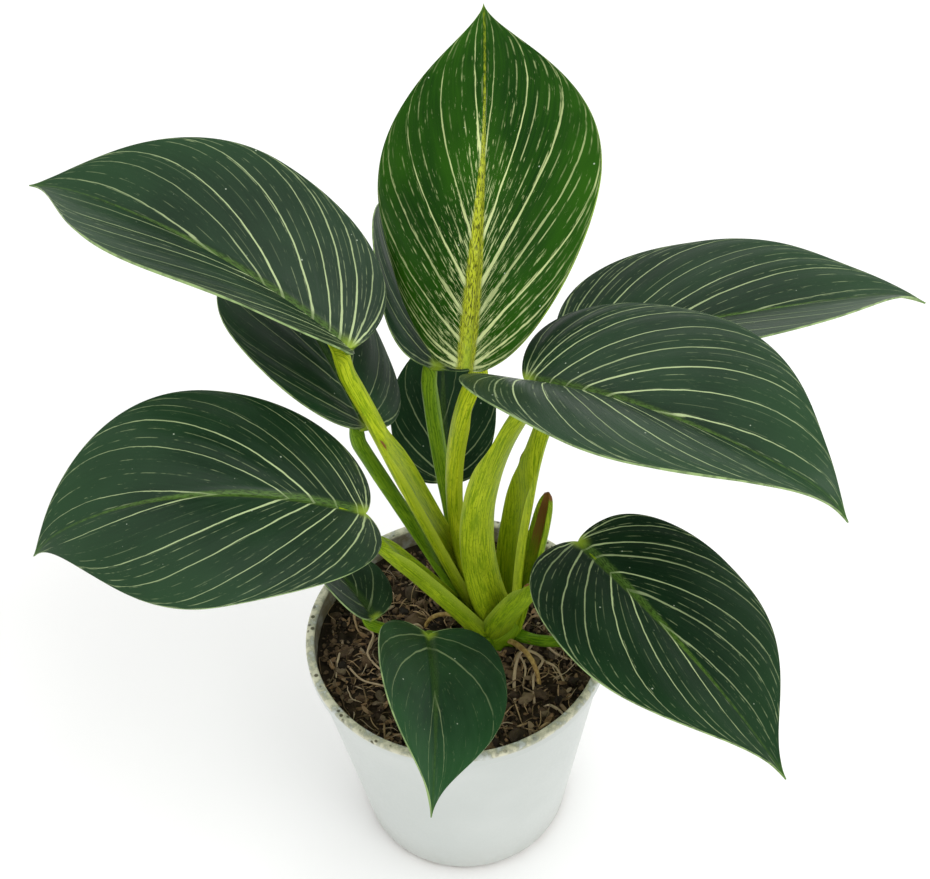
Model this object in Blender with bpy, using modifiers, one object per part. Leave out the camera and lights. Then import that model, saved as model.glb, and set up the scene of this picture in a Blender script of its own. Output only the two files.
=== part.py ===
"""Philodendron birkin in its 12 cm nursery pot: pot, potting mix, stem with its petioles, and twelve blades.

Lengths below are millimetres and angles degrees; a blade's heading is 0 towards -Y and 90 towards +X.
The origin is the middle of the pot's underside, on the surface it stands on.
"""

import math
import random
from dataclasses import dataclass

import bmesh
import bpy
import numpy as np
from mathutils import Vector, noise

MM = 0.001

# The pot
POT_HEIGHT = 110.0
RIM_RADIUS = 60.0
RIM_WIDTH = 3.4
RIM_DEPTH = 6.0
WALL_TOP_RADIUS = 58.4
BASE_RADIUS = 44.0
BASE_CORNER = 5.0
WALL = 1.4
FLOOR = 2.0
GROOVE_INNER = 25.0
GROOVE_OUTER = 36.0
GROOVE_DEPTH = 1.5
DRAIN_COUNT = 8
DRAIN_RADIUS = 3.2
POT_SEGMENTS = 48

# The potting mix
CLEARANCE = 0.3
SOIL_LEVEL = POT_HEIGHT - 9.5
SOIL_RELIEF = 1.6
SOIL_CROWN = 1.5
SOIL_RINGS = 9
CHIP_COUNT = 26
CHIP_SEED = 12
CHIP_GAP = 8.5
CHIP_FIELD = 50.0
CHIP_LIMIT = 52.0

# The stem
STEM_X = 15.5
STEM_Y = 6.0
STEM_RADIUS = 12.5
STEM_DEPTH = 16.0
STEM_TOP = 20.0
STEM_SEGMENTS = 20
SOCKET_DEPTH = STEM_DEPTH + 0.6

# The dried sheath of a shed leaf, and the aerial roots
OLD_SHEATH_FOOT = (21.0, 4.5, POT_HEIGHT - 1.0)
OLD_SHEATH_TIP = (37.0, 13.0, POT_HEIGHT + 63.0)
OLD_SHEATH_HALF_WIDTH = 5.0
ROOT_LEFT_END = (-13.0, 9.0)
ROOT_RIGHT_END = (31.0, -22.0)
ROOT_HOVER = CLEARANCE + 1.6

# The blades
BLADE_THICKNESS = 0.8
RIB_THICKNESS = 3.0
RIB_HALF_WIDTH = 2.4
VEIN_ROWS = 14
NOTCH_SHARE = 0.09
ACROSS = (0.0, 0.07, 0.28, 0.52, 0.77, 1.0)
BASAL_SHARE = 0.34
VEIN_CROWDING = 3.2

# The petioles
PETIOLE_SIDES = 12
PETIOLE_STATIONS = 13
PETIOLE_TOP_WIDTH = 6.6
PETIOLE_TOP_DEPTH = 6.0
SHEATH_DEPTH_SHARE = 0.6
SMALL_LEAF_LENGTH = 80.0
SMALL_PETIOLE = 0.8
CHANNEL_DEPTH = 1.44
CHANNEL_WIDTH_SHARE = 0.55
SEAT = RIB_THICKNESS + CLEARANCE


@dataclass
class Leaf:
    """One leaf: where its petiole carries the blade, how the blade lies, and how the petiole leaves the stem."""

    name: str
    base: tuple  # x, y and height above the pot's rim, where the petiole meets the blade
    heading: float
    pitch: float
    droop: float
    sweep: float
    roll: float
    twist: float
    length: float
    width: float
    fold: float
    curl: float
    hook: float
    lobe: float
    root: tuple  # x, y and height above the rim of the petiole's foot, inside the stem
    sag: tuple  # how far the petiole's middle bows aside from a straight line
    sheath: tuple  # width at the foot, and the share of the petiole that is winged
    widest: float = 0.43
    tip: float = 0.14
    neck: float = PETIOLE_TOP_WIDTH  # width of the petiole above its sheath


LEAVES = (
    Leaf("upper_left", (-30, 12, 140), -120, 31, 31, 8, 17, -24, 128, 85, 33, 7, 12, 0.05,
         root=(12, 7, -3), sag=(0, -2, 3), sheath=(15, 0.76), neck=9.2),
    Leaf("lower_left", (-28, -23, 96), -81, 34, 77, -6, 1, -31, 123, 83, 14, 22, 10, 0.05,
         root=(10, 2, -3), sag=(-2, 0, 6), sheath=(16, 0.84), neck=9.6),
    Leaf("top", (9, 5, 135), 167, 49, 28, 12, -49, 46, 131, 88, 12, 25, 7, 0.02,
         root=(10, 6, 2), sag=(-10, 2, 8), sheath=(13, 0.92), neck=9.2),
    Leaf("right", (27, -15, 146), 44, 26, 42, 9, -5, -3, 121, 82, 39, 33, 30, 0.11,
         root=(17, 2, 1), sag=(-13, -4, 9), sheath=(15, 0.86), neck=10.0),
    Leaf("back_right", (42, 20, 126), 85, 19, 21, 8, -10, -10, 126, 84, 25, 10, 28, 0.04,
         root=(20, 7, -3), sag=(-5, 1, 6), sheath=(15, 0.66), neck=8.6),
    Leaf("lower_right", (43, -36, 91), 32, 6, 25, -1, -1, -23, 106, 72, 15, 20, 9, 0.04,
         root=(15.5, 2, -3), sag=(-3.5, -1, 3), sheath=(16, 0.72), neck=9.0),
    Leaf("back_left", (-28, 13, 102), -154, 23, 25, 3, 39, -20, 104, 69, 9, 25, 5, 0.03,
         root=(9, 8, -4), sag=(-2, 3, 0), sheath=(10, 0.50)),
    Leaf("back", (-2, 32, 112), -175, 20, 28, 9, 32, 31, 86, 63, 15, -2, 6, 0.05,
         root=(11, 9, -3), sag=(-3, 1, -2), sheath=(11, 0.45)),
    Leaf("low_back", (-2, 36, 48), 178, 30, 20, 0, 0, 0, 72, 42, 12, 10, 5, 0.04,
         root=(15, 10, -4), sag=(0, 3, -4), sheath=(9, 0.45), widest=0.40),
    Leaf("front", (-10, -31, 38), 7, 12, 31, -15, -20, -20, 75, 51, 24, 5, 5, 0.03,
         root=(13, 1, -5), sag=(0, -3, 2), sheath=(8, 0.40), widest=0.36, tip=0.20),
    Leaf("low_left", (-31, -10, 23), -145, 20, 30, 0, 22, 0, 42, 28, 25, 5, 5, 0.03,
         root=(11, 3, -5), sag=(0, 0, -6), sheath=(8, 0.55), widest=0.36, tip=0.20),
    Leaf("low_right", (46, -14, 15), 76, 8, 30, 0, 0, 0, 46, 30, 20, 5, 5, 0.03,
         root=(20, 2, -5), sag=(0, 0, -4), sheath=(8, 0.45), widest=0.36, tip=0.20),
)

COLOURS = {
    "pot": (0.76, 0.80, 0.80),
    "soil": (0.055, 0.035, 0.022),
    "petiole": (0.33, 0.48, 0.04),
    "blade": (0.018, 0.07, 0.028),
    "top_blade": (0.035, 0.14, 0.015),
}
ROUGHNESS = {"pot": 0.45, "soil": 0.95, "petiole": 0.45, "blade": 0.4, "top_blade": 0.35}


def clear_scene():
    for obj in list(bpy.data.objects):
        bpy.data.objects.remove(obj)


def new_collection(name, shown=True):
    collection = bpy.data.collections.new(name)
    bpy.context.scene.collection.children.link(collection)
    collection.hide_render = not shown
    return collection


def material(kind):
    found = bpy.data.materials.get(kind)
    if found:
        return found
    made = bpy.data.materials.new(kind)
    made.use_nodes = True
    shader = made.node_tree.nodes["Principled BSDF"]
    shader.inputs["Base Color"].default_value = (*COLOURS[kind], 1.0)
    shader.inputs["Roughness"].default_value = ROUGHNESS[kind]
    shader.inputs["Metallic"].default_value = 0.0
    return made


def new_object(name, mesh, collection, kind):
    obj = bpy.data.objects.new(name, mesh)
    obj.data.materials.append(material(kind))
    collection.objects.link(obj)
    return obj


def mesh_from(bm, name):
    mesh = bpy.data.meshes.new(name)
    bm.to_mesh(mesh)
    bm.free()
    mesh.shade_smooth()
    mesh.set_sharp_from_angle(angle=math.radians(40))
    return mesh


def evaluated_copy(obj, name):
    """The object's mesh with its modifiers applied."""
    graph = bpy.context.evaluated_depsgraph_get()
    mesh = bpy.data.meshes.new_from_object(obj.evaluated_get(graph))
    mesh.name = name
    return mesh


def turned(name, profile, collection, kind, segments=POT_SEGMENTS):
    """A solid of revolution, from a profile that starts and ends on the axis."""
    bm = bmesh.new()
    points = [bm.verts.new((r * MM, 0, z * MM)) for r, z in profile]
    for a, b in zip(points, points[1:]):
        bm.edges.new((a, b))
    obj = new_object(name, mesh_from(bm, name), collection, kind)
    screw = obj.modifiers.new("turn", "SCREW")
    screw.angle = math.tau
    screw.steps = segments
    screw.render_steps = segments
    screw.use_merge_vertices = True
    screw.merge_threshold = 0.00001
    return obj


def apply_modifiers(obj):
    mesh = evaluated_copy(obj, obj.name)
    obj.modifiers.clear()
    obj.data = mesh
    return obj


def boolean(obj, operation, collection):
    modifier = obj.modifiers.new(operation.lower(), "BOOLEAN")
    modifier.operation = operation
    modifier.operand_type = "COLLECTION"
    modifier.collection = collection
    modifier.solver = "EXACT"
    bpy.context.view_layer.update()
    apply_modifiers(obj)
    for other in list(collection.objects):
        bpy.data.objects.remove(other)


def keep_largest_piece(obj):
    """Drops the loose scraps and sealed pockets that a union of many pieces leaves behind."""
    bm = bmesh.new()
    bm.from_mesh(obj.data)
    left, pieces = set(bm.verts), []
    while left:
        piece, edge = set(), {left.pop()}
        while edge:
            piece |= edge
            edge = {e.other_vert(v) for v in edge for e in v.link_edges} - piece
        left -= piece
        pieces.append(piece)
    largest = max(pieces, key=len)
    bmesh.ops.delete(bm, geom=[v for v in bm.verts if v not in largest], context="VERTS")
    bm.to_mesh(obj.data)
    bm.free()


def arc(centre, radius, start, end, steps):
    """Points of an arc in the profile plane, from one angle to the other."""
    angles = [math.radians(start + (end - start) * i / steps) for i in range(steps + 1)]
    return [(centre[0] + radius * math.cos(a), centre[1] + radius * math.sin(a)) for a in angles]


def wall_radius(z):
    """The pot's outer wall radius at a height."""
    share = (z - BASE_CORNER) / (POT_HEIGHT - RIM_DEPTH - BASE_CORNER)
    return BASE_RADIUS + (WALL_TOP_RADIUS - BASE_RADIUS) * share


def pot_profile():
    """From the floor's middle up the inner wall, over the rim, down the outside and back under the pot."""
    step_z = POT_HEIGHT - RIM_DEPTH
    inner_base = wall_radius(BASE_CORNER) - WALL
    inside = [
        (0, FLOOR),
        (GROOVE_INNER, FLOOR),
        (GROOVE_INNER + GROOVE_DEPTH, FLOOR + GROOVE_DEPTH),
        (GROOVE_OUTER, FLOOR + GROOVE_DEPTH),
        *arc((inner_base - BASE_CORNER / 2, FLOOR + GROOVE_DEPTH + BASE_CORNER / 2), BASE_CORNER / 2, -90, 0, 3),
        (wall_radius(step_z) - WALL, step_z),
        (RIM_RADIUS - RIM_WIDTH, POT_HEIGHT - 1.0),
    ]
    rim = [
        (RIM_RADIUS - RIM_WIDTH + 0.7, POT_HEIGHT),
        (RIM_RADIUS - 0.9, POT_HEIGHT),
        (RIM_RADIUS, POT_HEIGHT - 0.9),
        (RIM_RADIUS, step_z + 0.8),
        (wall_radius(step_z), step_z),
    ]
    outside = [
        *arc((BASE_RADIUS - BASE_CORNER, BASE_CORNER), BASE_CORNER, 0, -90, 4),
        (GROOVE_OUTER, 0),
        (GROOVE_OUTER - GROOVE_DEPTH, GROOVE_DEPTH),
        (GROOVE_INNER + 2 * GROOVE_DEPTH, GROOVE_DEPTH),
        (GROOVE_INNER + GROOVE_DEPTH, 0),
        (0, 0),
    ]
    return inside + rim + outside


def build_pot(shown, cutters):
    pot = apply_modifiers(turned("pot", pot_profile(), shown, "pot"))
    ring = (GROOVE_INNER + GROOVE_OUTER + GROOVE_DEPTH) / 2
    for i in range(DRAIN_COUNT):
        angle = math.tau * (i + 0.5) / DRAIN_COUNT
        bm = bmesh.new()
        bmesh.ops.create_cone(bm, cap_ends=True, segments=12, radius1=DRAIN_RADIUS * MM,
                              radius2=DRAIN_RADIUS * MM, depth=20 * MM)
        hole = new_object(f"drain_{i}", mesh_from(bm, f"drain_{i}"), cutters, "pot")
        hole.location = (ring * math.cos(angle) * MM, ring * math.sin(angle) * MM, 0)
    boolean(pot, "DIFFERENCE", cutters)


def soil_height(x, y):
    """Height of the potting mix, which is heaped a little round the stem and lumpy all over."""
    edge = math.hypot(x, y) / (RIM_RADIUS - RIM_WIDTH)
    heap = SOIL_CROWN * max(0.0, 1 - math.hypot(x - STEM_X, y - STEM_Y) / 30.0)
    lumps = noise.noise(Vector((x * 0.11, y * 0.11, 3.1))) + 0.5 * noise.noise(Vector((x * 0.27, y * 0.27, 8.4)))
    return SOIL_LEVEL + heap + SOIL_RELIEF * lumps * (1 - 0.6 * edge**4)


def soil_radius(z):
    return wall_radius(z) - WALL - CLEARANCE


def build_soil(shown, cutters, chips):
    foot = FLOOR + GROOVE_DEPTH + CLEARANCE
    rings = [(soil_radius(SOIL_LEVEL) * i / SOIL_RINGS, SOIL_LEVEL) for i in range(SOIL_RINGS + 1)]
    lower = [(soil_radius(foot + 4) - 2.5, foot), (0, foot)]
    soil = apply_modifiers(turned("potting_mix", rings + [(soil_radius(foot + 4), foot + 4)] + lower, shown, "soil"))
    for vertex in soil.data.vertices:
        if vertex.co.z > (SOIL_LEVEL - 1) * MM:
            vertex.co.z = soil_height(vertex.co.x / MM, vertex.co.y / MM) * MM
    scatter_chips(chips)
    boolean(soil, "UNION", chips)
    bm = bmesh.new()
    bmesh.ops.create_cone(bm, cap_ends=True, segments=20, radius1=(STEM_RADIUS + CLEARANCE) * MM,
                          radius2=(STEM_RADIUS + CLEARANCE) * MM, depth=2 * SOCKET_DEPTH * MM)
    socket = new_object("socket", mesh_from(bm, "socket"), cutters, "soil")
    socket.location = (STEM_X * MM, STEM_Y * MM, SOIL_LEVEL * MM)
    boolean(soil, "DIFFERENCE", cutters)


def scatter_chips(chips):
    """Bark chips, half sunk in the mix, clear of the stem and the rim."""
    draw = random.Random(CHIP_SEED)
    placed = []
    while len(placed) < CHIP_COUNT:
        angle, radius = draw.uniform(0, math.tau), CHIP_FIELD * math.sqrt(draw.uniform(0, 1))
        x, y = radius * math.cos(angle), radius * math.sin(angle)
        size = draw.uniform(3.5, 7.0)
        near = any(math.hypot(x - px, y - py) < CHIP_GAP for px, py in placed)
        by_stem = math.hypot(x - STEM_X, y - STEM_Y) < STEM_RADIUS + CHIP_GAP
        if near or by_stem or radius + size > CHIP_LIMIT:
            continue
        placed.append((x, y))
        bm = bmesh.new()
        bmesh.ops.create_cube(bm, size=1.0)
        for vertex in bm.verts:
            vertex.co.x *= size * draw.uniform(0.8, 1.2) * MM
            vertex.co.y *= size * draw.uniform(0.35, 0.55) * MM
            vertex.co.z *= draw.uniform(2.2, 3.4) * MM
        chip = new_object(f"chip_{len(placed)}", mesh_from(bm, "chip"), chips, "soil")
        chip.location = (x * MM, y * MM, (soil_height(x, y) + 0.2) * MM)
        chip.rotation_euler = (draw.uniform(-0.3, 0.3), draw.uniform(-0.25, 0.25), draw.uniform(0, math.tau))


def cubic(points, t):
    """A cubic Bezier curve at parameters t."""
    p = np.asarray(points, float)
    t = np.asarray(t, float)[..., None]
    return (1 - t) ** 3 * p[0] + 3 * (1 - t) ** 2 * t * p[1] + 3 * (1 - t) * t**2 * p[2] + t**3 * p[3]


def half_outline(leaf, count=160):
    """The margin of one half of the flat blade from the basal notch to the tip, as x along and y across,
    in equal steps: a rounded lobe behind the petiole, a broad shoulder, and a drawn-out tip."""
    t = np.linspace(0, 1, 200)
    shoulder = cubic([(0, 0), (-1.9 * leaf.lobe, 0.33), (leaf.widest - 0.25, 0.5), (leaf.widest, 0.5)], t)
    taper = cubic([(leaf.widest, 0.5), (leaf.widest + 0.30, 0.5), (1 - leaf.tip, 0.03), (1, 0)], t)
    points = np.vstack([shoulder, taper[1:]]) * (leaf.length, leaf.width)
    run = np.concatenate([[0], np.cumsum(np.hypot(*np.diff(points, axis=0).T))])
    even = np.linspace(0, run[-1], count)
    return np.stack([np.interp(even, run, points[:, k]) for k in (0, 1)], 1)


def flat_point(leaf, margin, a, t):
    """The point a share t out along lateral vein a, which runs from the midrib to the margin."""
    start = leaf.length * max(0.0, (a - BASAL_SHARE) / (1 - BASAL_SHARE)) ** VEIN_CROWDING
    index = a * (len(margin) - 1)
    end = np.array([np.interp(index, range(len(margin)), margin[:, k]) for k in (0, 1)])
    reach = end - (start, 0)
    bow = 0.55 - 0.25 * a
    return np.array([start + reach[0] * (t + bow * t * (t - 1)), reach[1] * (t - bow * 0.8 * t * (t - 1))])


def along_midrib(leaf, x):
    """Position and direction of the arched midrib x along it, and its heading there."""
    steps = np.linspace(0, 1, 121)
    hook = np.clip((steps - 0.82) / 0.18, 0, 1)
    pitch = np.radians(leaf.pitch - leaf.droop * steps**1.3 - leaf.hook * hook * hook * (3 - 2 * hook))
    heading = np.radians(leaf.heading + leaf.sweep * steps)
    ahead = np.stack([np.sin(heading) * np.cos(pitch), -np.cos(heading) * np.cos(pitch), np.sin(pitch)], 1)
    run = np.vstack([[0, 0, 0], np.cumsum((ahead[1:] + ahead[:-1]) / 2 * leaf.length / 120, axis=0)])
    u = min(max(x / leaf.length, 0), 1)
    place = np.array([np.interp(u, steps, run[:, k]) for k in range(3)])
    tangent = np.array([np.interp(u, steps, ahead[:, k]) for k in range(3)])
    tangent /= np.linalg.norm(tangent)
    return place + tangent * min(x, 0), tangent, np.interp(u, steps, heading)


def blade_frame(leaf, x):
    """Position, forward, leftward and upward directions of the blade at x along the midrib."""
    place, tangent, heading = along_midrib(leaf, x)
    left = np.array([np.cos(heading), np.sin(heading), 0.0])
    up = np.cross(tangent, left)
    up /= np.linalg.norm(up)
    roll = math.radians(leaf.roll + leaf.twist * min(max(x / leaf.length, 0), 1))
    base = np.array(leaf.base, float) + (0, 0, POT_HEIGHT)
    rolled = left * math.cos(roll) + up * math.sin(roll)
    return base + place, tangent, rolled, np.cross(tangent, rolled)


def blade_point(leaf, x, y):
    """A point of the flat blade, set in space: halves folded up from the midrib and curling over."""
    place, _, left, up = blade_frame(leaf, x)
    u = min(max(x / leaf.length, 0), 1)
    rise = math.radians(leaf.fold) * (1 - 0.4 * u) - math.radians(leaf.curl) * abs(y) / leaf.width
    return place + left * (y * math.cos(rise)) + up * (abs(y) * math.sin(rise))


def build_blade(leaf, shown):
    """A grid of lateral veins, bent to the blade's form and thickened downwards, most under the midrib."""
    bm = bmesh.new()
    bmesh.ops.create_grid(bm, x_segments=VEIN_ROWS - 1, y_segments=2 * (len(ACROSS) - 1), size=0.5)
    margin = half_outline(leaf)
    shares = [-t for t in reversed(ACROSS[1:])] + list(ACROSS)
    rib = bm.verts.layers.deform.verify()
    for vertex in bm.verts:
        a = NOTCH_SHARE + (1 - NOTCH_SHARE) * (vertex.co.x + 0.5)
        t = shares[round((vertex.co.y + 0.5) * (len(shares) - 1))]
        x, y = flat_point(leaf, margin, a, abs(t))
        y = math.copysign(y, t)
        vertex.co = Vector(blade_point(leaf, x, y)) * MM
        fade = (1 - min(max(x / leaf.length, 0), 1)) ** 0.8
        vertex[rib][0] = fade * math.exp(-((y / RIB_HALF_WIDTH) ** 2))
    bmesh.ops.remove_doubles(bm, verts=bm.verts, dist=0.00002)
    bmesh.ops.triangulate(bm, faces=bm.faces, quad_method="SHORT_EDGE")
    bmesh.ops.recalc_face_normals(bm, faces=bm.faces)
    up = Vector(blade_frame(leaf, 0.4 * leaf.length)[3])
    if sum((face.normal * face.calc_area() for face in bm.faces), Vector()).dot(up) < 0:
        bmesh.ops.reverse_faces(bm, faces=bm.faces)
    name = f"blade_{leaf.name}"
    blade = new_object(name, mesh_from(bm, name), shown, "top_blade" if leaf.name == "top" else "blade")
    blade.vertex_groups.new(name="rib")
    shell = blade.modifiers.new("thickness", "SOLIDIFY")
    shell.thickness = RIB_THICKNESS * MM
    shell.offset = -1
    shell.vertex_group = "rib"
    shell.thickness_vertex_group = BLADE_THICKNESS / RIB_THICKNESS
    shell.use_quality_normals = True


def petiole_scale(leaf):
    return SMALL_PETIOLE if leaf.length < SMALL_LEAF_LENGTH else 1.0


def petiole_course(leaf):
    """Control points of the petiole's centreline, from inside the stem to just under the blade's midrib."""
    foot = np.array(leaf.root, float) + (0, 0, POT_HEIGHT)
    place, ahead, _, up = blade_frame(leaf, 0)
    bow = 4 / 3 * np.array(leaf.sag)
    rise = (place - foot) / 3 - bow
    lean = math.sqrt(1 - (rise.dot(up) / np.linalg.norm(rise)) ** 2)
    seat = place + ahead * 1.5 - up * (SEAT + lean * PETIOLE_TOP_WIDTH / 2 * petiole_scale(leaf))
    return [foot, foot + (seat - foot) / 3 + bow, foot + (seat - foot) * 2 / 3 + bow, seat]


def petiole_section(leaf, share):
    """Half width, half depth and channel depth of the petiole a share of the way up."""
    foot_width, winged = leaf.sheath
    wing = np.clip((winged + 0.12 - share) / 0.24, 0, 1)
    wing = wing * wing * (3 - 2 * wing)
    taper = 1 - 0.25 * share
    width = leaf.neck + (foot_width * taper - leaf.neck) * wing
    depth = PETIOLE_TOP_DEPTH + (SHEATH_DEPTH_SHARE * foot_width * taper - PETIOLE_TOP_DEPTH) * wing
    size = petiole_scale(leaf)
    return width / 2 * size, depth / 2 * size, CHANNEL_DEPTH * wing * size


def build_petiole(leaf, petioles):
    """A closed loft of channelled sections along the petiole."""
    course = petiole_course(leaf)
    outward = np.array([leaf.base[0] - STEM_X, leaf.base[1] - STEM_Y, 0.0])
    outward /= np.linalg.norm(outward)
    bm = bmesh.new()
    bmesh.ops.create_cone(bm, cap_ends=True, segments=PETIOLE_SIDES, radius1=1, radius2=1, depth=1)
    uprights = [e for e in bm.edges if abs(e.verts[0].co.z - e.verts[1].co.z) > 0.5]
    bmesh.ops.subdivide_edges(bm, edges=uprights, cuts=PETIOLE_STATIONS - 2)
    for vertex in bm.verts:
        share = vertex.co.z + 0.5
        angle = math.atan2(vertex.co.y, vertex.co.x)
        vertex.co = Vector(petiole_point(leaf, course, outward, share, angle)) * MM
    bmesh.ops.recalc_face_normals(bm, faces=bm.faces)
    new_object(f"petiole_{leaf.name}", mesh_from(bm, "petiole"), petioles, "petiole")


def petiole_point(leaf, course, outward, share, angle):
    """A point of the petiole's skin; angle 90 is its channelled inner side."""
    place = cubic(course, share)
    tangent = cubic(course, min(share + 0.01, 1)) - cubic(course, min(share + 0.01, 1) - 0.02)
    tangent /= np.linalg.norm(tangent)
    inner = np.array([0, 0, 0.8]) - outward
    inner -= tangent * inner.dot(tangent)
    inner /= np.linalg.norm(inner)
    side = np.cross(tangent, inner)
    half_width, half_depth, channel = petiole_section(leaf, share)
    across = half_width * math.cos(angle)
    through = half_depth * math.sin(angle)
    if math.sin(angle) > 0:
        through -= channel * math.exp(-((across / (CHANNEL_WIDTH_SHARE * half_width)) ** 2))
    return place + side * across + inner * through


def build_stem(shown, petioles):
    """The short stem with every petiole grown from it, and the dried sheath of a shed leaf."""
    level = SOIL_LEVEL - STEM_DEPTH
    profile = [
        (0, SOIL_LEVEL + STEM_TOP),
        (STEM_RADIUS * 0.7, SOIL_LEVEL + STEM_TOP - 3),
        (STEM_RADIUS, SOIL_LEVEL + STEM_TOP - 9),
        (STEM_RADIUS, level + 2),
        (STEM_RADIUS - 2, level),
        (0, level),
    ]
    stem = apply_modifiers(turned("stem_and_petioles", profile, shown, "petiole", STEM_SEGMENTS))
    for vertex in stem.data.vertices:
        vertex.co.x += STEM_X * MM
        vertex.co.y += STEM_Y * MM
    for leaf in LEAVES:
        build_petiole(leaf, petioles)
    build_old_sheath(petioles)
    build_roots(petioles)
    boolean(stem, "UNION", petioles)
    keep_largest_piece(stem)


def build_old_sheath(petioles):
    """The boat-shaped sheath left where an old leaf was shed, open along its inner side."""
    foot, tip = np.array(OLD_SHEATH_FOOT), np.array(OLD_SHEATH_TIP)
    bm = bmesh.new()
    bmesh.ops.create_cone(bm, cap_ends=True, segments=8, radius1=1, radius2=1, depth=1)
    uprights = [e for e in bm.edges if abs(e.verts[0].co.z - e.verts[1].co.z) > 0.5]
    bmesh.ops.subdivide_edges(bm, edges=uprights, cuts=6)
    tangent = (tip - foot) / np.linalg.norm(tip - foot)
    side = np.cross(tangent, (-0.7, -0.5, 0.3))
    side /= np.linalg.norm(side)
    inner = np.cross(side, tangent)
    for vertex in bm.verts:
        share = vertex.co.z + 0.5
        angle = math.atan2(vertex.co.y, vertex.co.x)
        half = OLD_SHEATH_HALF_WIDTH * (1 - 0.35 * share) * math.sqrt(max(1 - share**6, 0.05))
        across, through = half * math.cos(angle), 0.55 * half * math.sin(angle)
        if math.sin(angle) > 0.1:
            through -= 0.75 * half * math.sin(angle) * min(share * 2, 1)
        point = foot + (tip - foot) * share + side * across + inner * through
        vertex.co = Vector(point) * MM
    bmesh.ops.recalc_face_normals(bm, faces=bm.faces)
    new_object("old_sheath", mesh_from(bm, "old_sheath"), petioles, "petiole")


def build_root(name, points, radius, petioles):
    """An aerial root: a tapering tube that leaves the stem and stops just over the mix."""
    curve = bpy.data.curves.new(name, "CURVE")
    curve.dimensions = "3D"
    curve.bevel_depth = radius * MM
    curve.bevel_resolution = 1
    curve.use_fill_caps = True
    spline = curve.splines.new("POLY")
    steps = 9
    spline.points.add(steps - 1)
    for i, place in enumerate(cubic(points, np.linspace(0, 1, steps))):
        spline.points[i].co = (*(place * MM), 1.0)
        spline.points[i].radius = 1.0 - 0.35 * i / steps
    guide = bpy.data.objects.new(f"{name}_guide", curve)
    bpy.context.scene.collection.objects.link(guide)
    bpy.context.view_layer.update()
    bm = bmesh.new()
    bm.from_mesh(evaluated_copy(guide, name))
    bmesh.ops.remove_doubles(bm, verts=bm.verts, dist=0.00001)
    bpy.data.objects.remove(guide)
    new_object(name, mesh_from(bm, name), petioles, "petiole")


def build_roots(petioles):
    """Two aerial roots, one on each side of the crown."""
    build_root("root_left", [
        (10.0, 3.0, SOIL_LEVEL + 9.0),
        (2.0, 5.0, SOIL_LEVEL + 13.0),
        (-10.0, 8.0, SOIL_LEVEL + 15.0),
        (*ROOT_LEFT_END, soil_height(*ROOT_LEFT_END) + ROOT_HOVER),
    ], 1.1, petioles)
    build_root("root_right", [
        (20.0, -3.0, SOIL_LEVEL + 5.0),
        (27.0, -11.0, SOIL_LEVEL + 10.0),
        (30.5, -18.0, SOIL_LEVEL + 9.0),
        (*ROOT_RIGHT_END, soil_height(*ROOT_RIGHT_END) + ROOT_HOVER),
    ], 1.2, petioles)


def main():
    clear_scene()
    shown = new_collection("philodendron_birkin")
    cutters = new_collection("cutters", shown=False)
    petioles = new_collection("petioles", shown=False)
    chips = new_collection("chips", shown=False)
    build_pot(shown, cutters)
    build_soil(shown, cutters, chips)
    build_stem(shown, petioles)
    for leaf in LEAVES:
        build_blade(leaf, shown)


main()
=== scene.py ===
"""Looks of a philodendron birkin in its nursery pot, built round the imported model.

Lengths are millimetres and angles degrees until a mesh is made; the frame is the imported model's.
A blade's heading is 0 towards -Y and 90 towards +X. Blades and petioles follow the same formulas
as their solids, with a finer surface, so each piece stands where its solid is.
"""

import math
import random
from dataclasses import dataclass

import bmesh
import bpy
import numpy as np
from mathutils import Matrix, Vector, noise


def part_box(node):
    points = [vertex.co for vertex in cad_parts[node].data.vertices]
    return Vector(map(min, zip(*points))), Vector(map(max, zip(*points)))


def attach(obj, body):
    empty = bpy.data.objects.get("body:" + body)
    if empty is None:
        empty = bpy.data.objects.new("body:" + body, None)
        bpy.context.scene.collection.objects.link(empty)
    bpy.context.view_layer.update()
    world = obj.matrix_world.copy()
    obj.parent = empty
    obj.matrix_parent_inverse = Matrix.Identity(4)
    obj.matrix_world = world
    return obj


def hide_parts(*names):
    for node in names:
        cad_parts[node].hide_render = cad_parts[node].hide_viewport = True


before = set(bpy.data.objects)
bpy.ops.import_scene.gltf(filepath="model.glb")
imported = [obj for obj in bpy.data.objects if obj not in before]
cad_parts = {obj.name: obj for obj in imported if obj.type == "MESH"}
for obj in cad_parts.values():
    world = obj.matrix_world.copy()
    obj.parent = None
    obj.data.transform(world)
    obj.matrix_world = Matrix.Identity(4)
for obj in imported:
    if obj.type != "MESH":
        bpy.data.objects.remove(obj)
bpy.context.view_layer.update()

MM = 0.001

# Height and radius of the pot, read from the frame
POT_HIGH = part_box("pot")[1] / MM
RIM_HEIGHT = POT_HIGH.z
RIM_RADIUS = POT_HIGH.x

# The pot
RIM_WIDTH = 3.4
RIM_DEPTH = 6.0
WALL_TOP_RADIUS = 58.4
BASE_RADIUS = 44.0
BASE_CORNER = 5.0
WALL = 1.4
FLOOR = 2.0
GROOVE_INNER = 25.0
GROOVE_OUTER = 36.0
GROOVE_DEPTH = 1.5
DRAIN_COUNT = 8
DRAIN_RADIUS = 3.2
DRAIN_PIN_LENGTH = 20.0
POT_SEGMENTS = 160

# The potting mix
SOIL_LEVEL = RIM_HEIGHT - 9.5
SOIL_RELIEF = 1.6
SOIL_CROWN = 1.5
SOIL_SEED = 5
CRUMB_COUNT = 2600
CHIP_COUNT = 620
FIBRE_COUNT = 520
CLUMP_COUNT = 170
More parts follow.
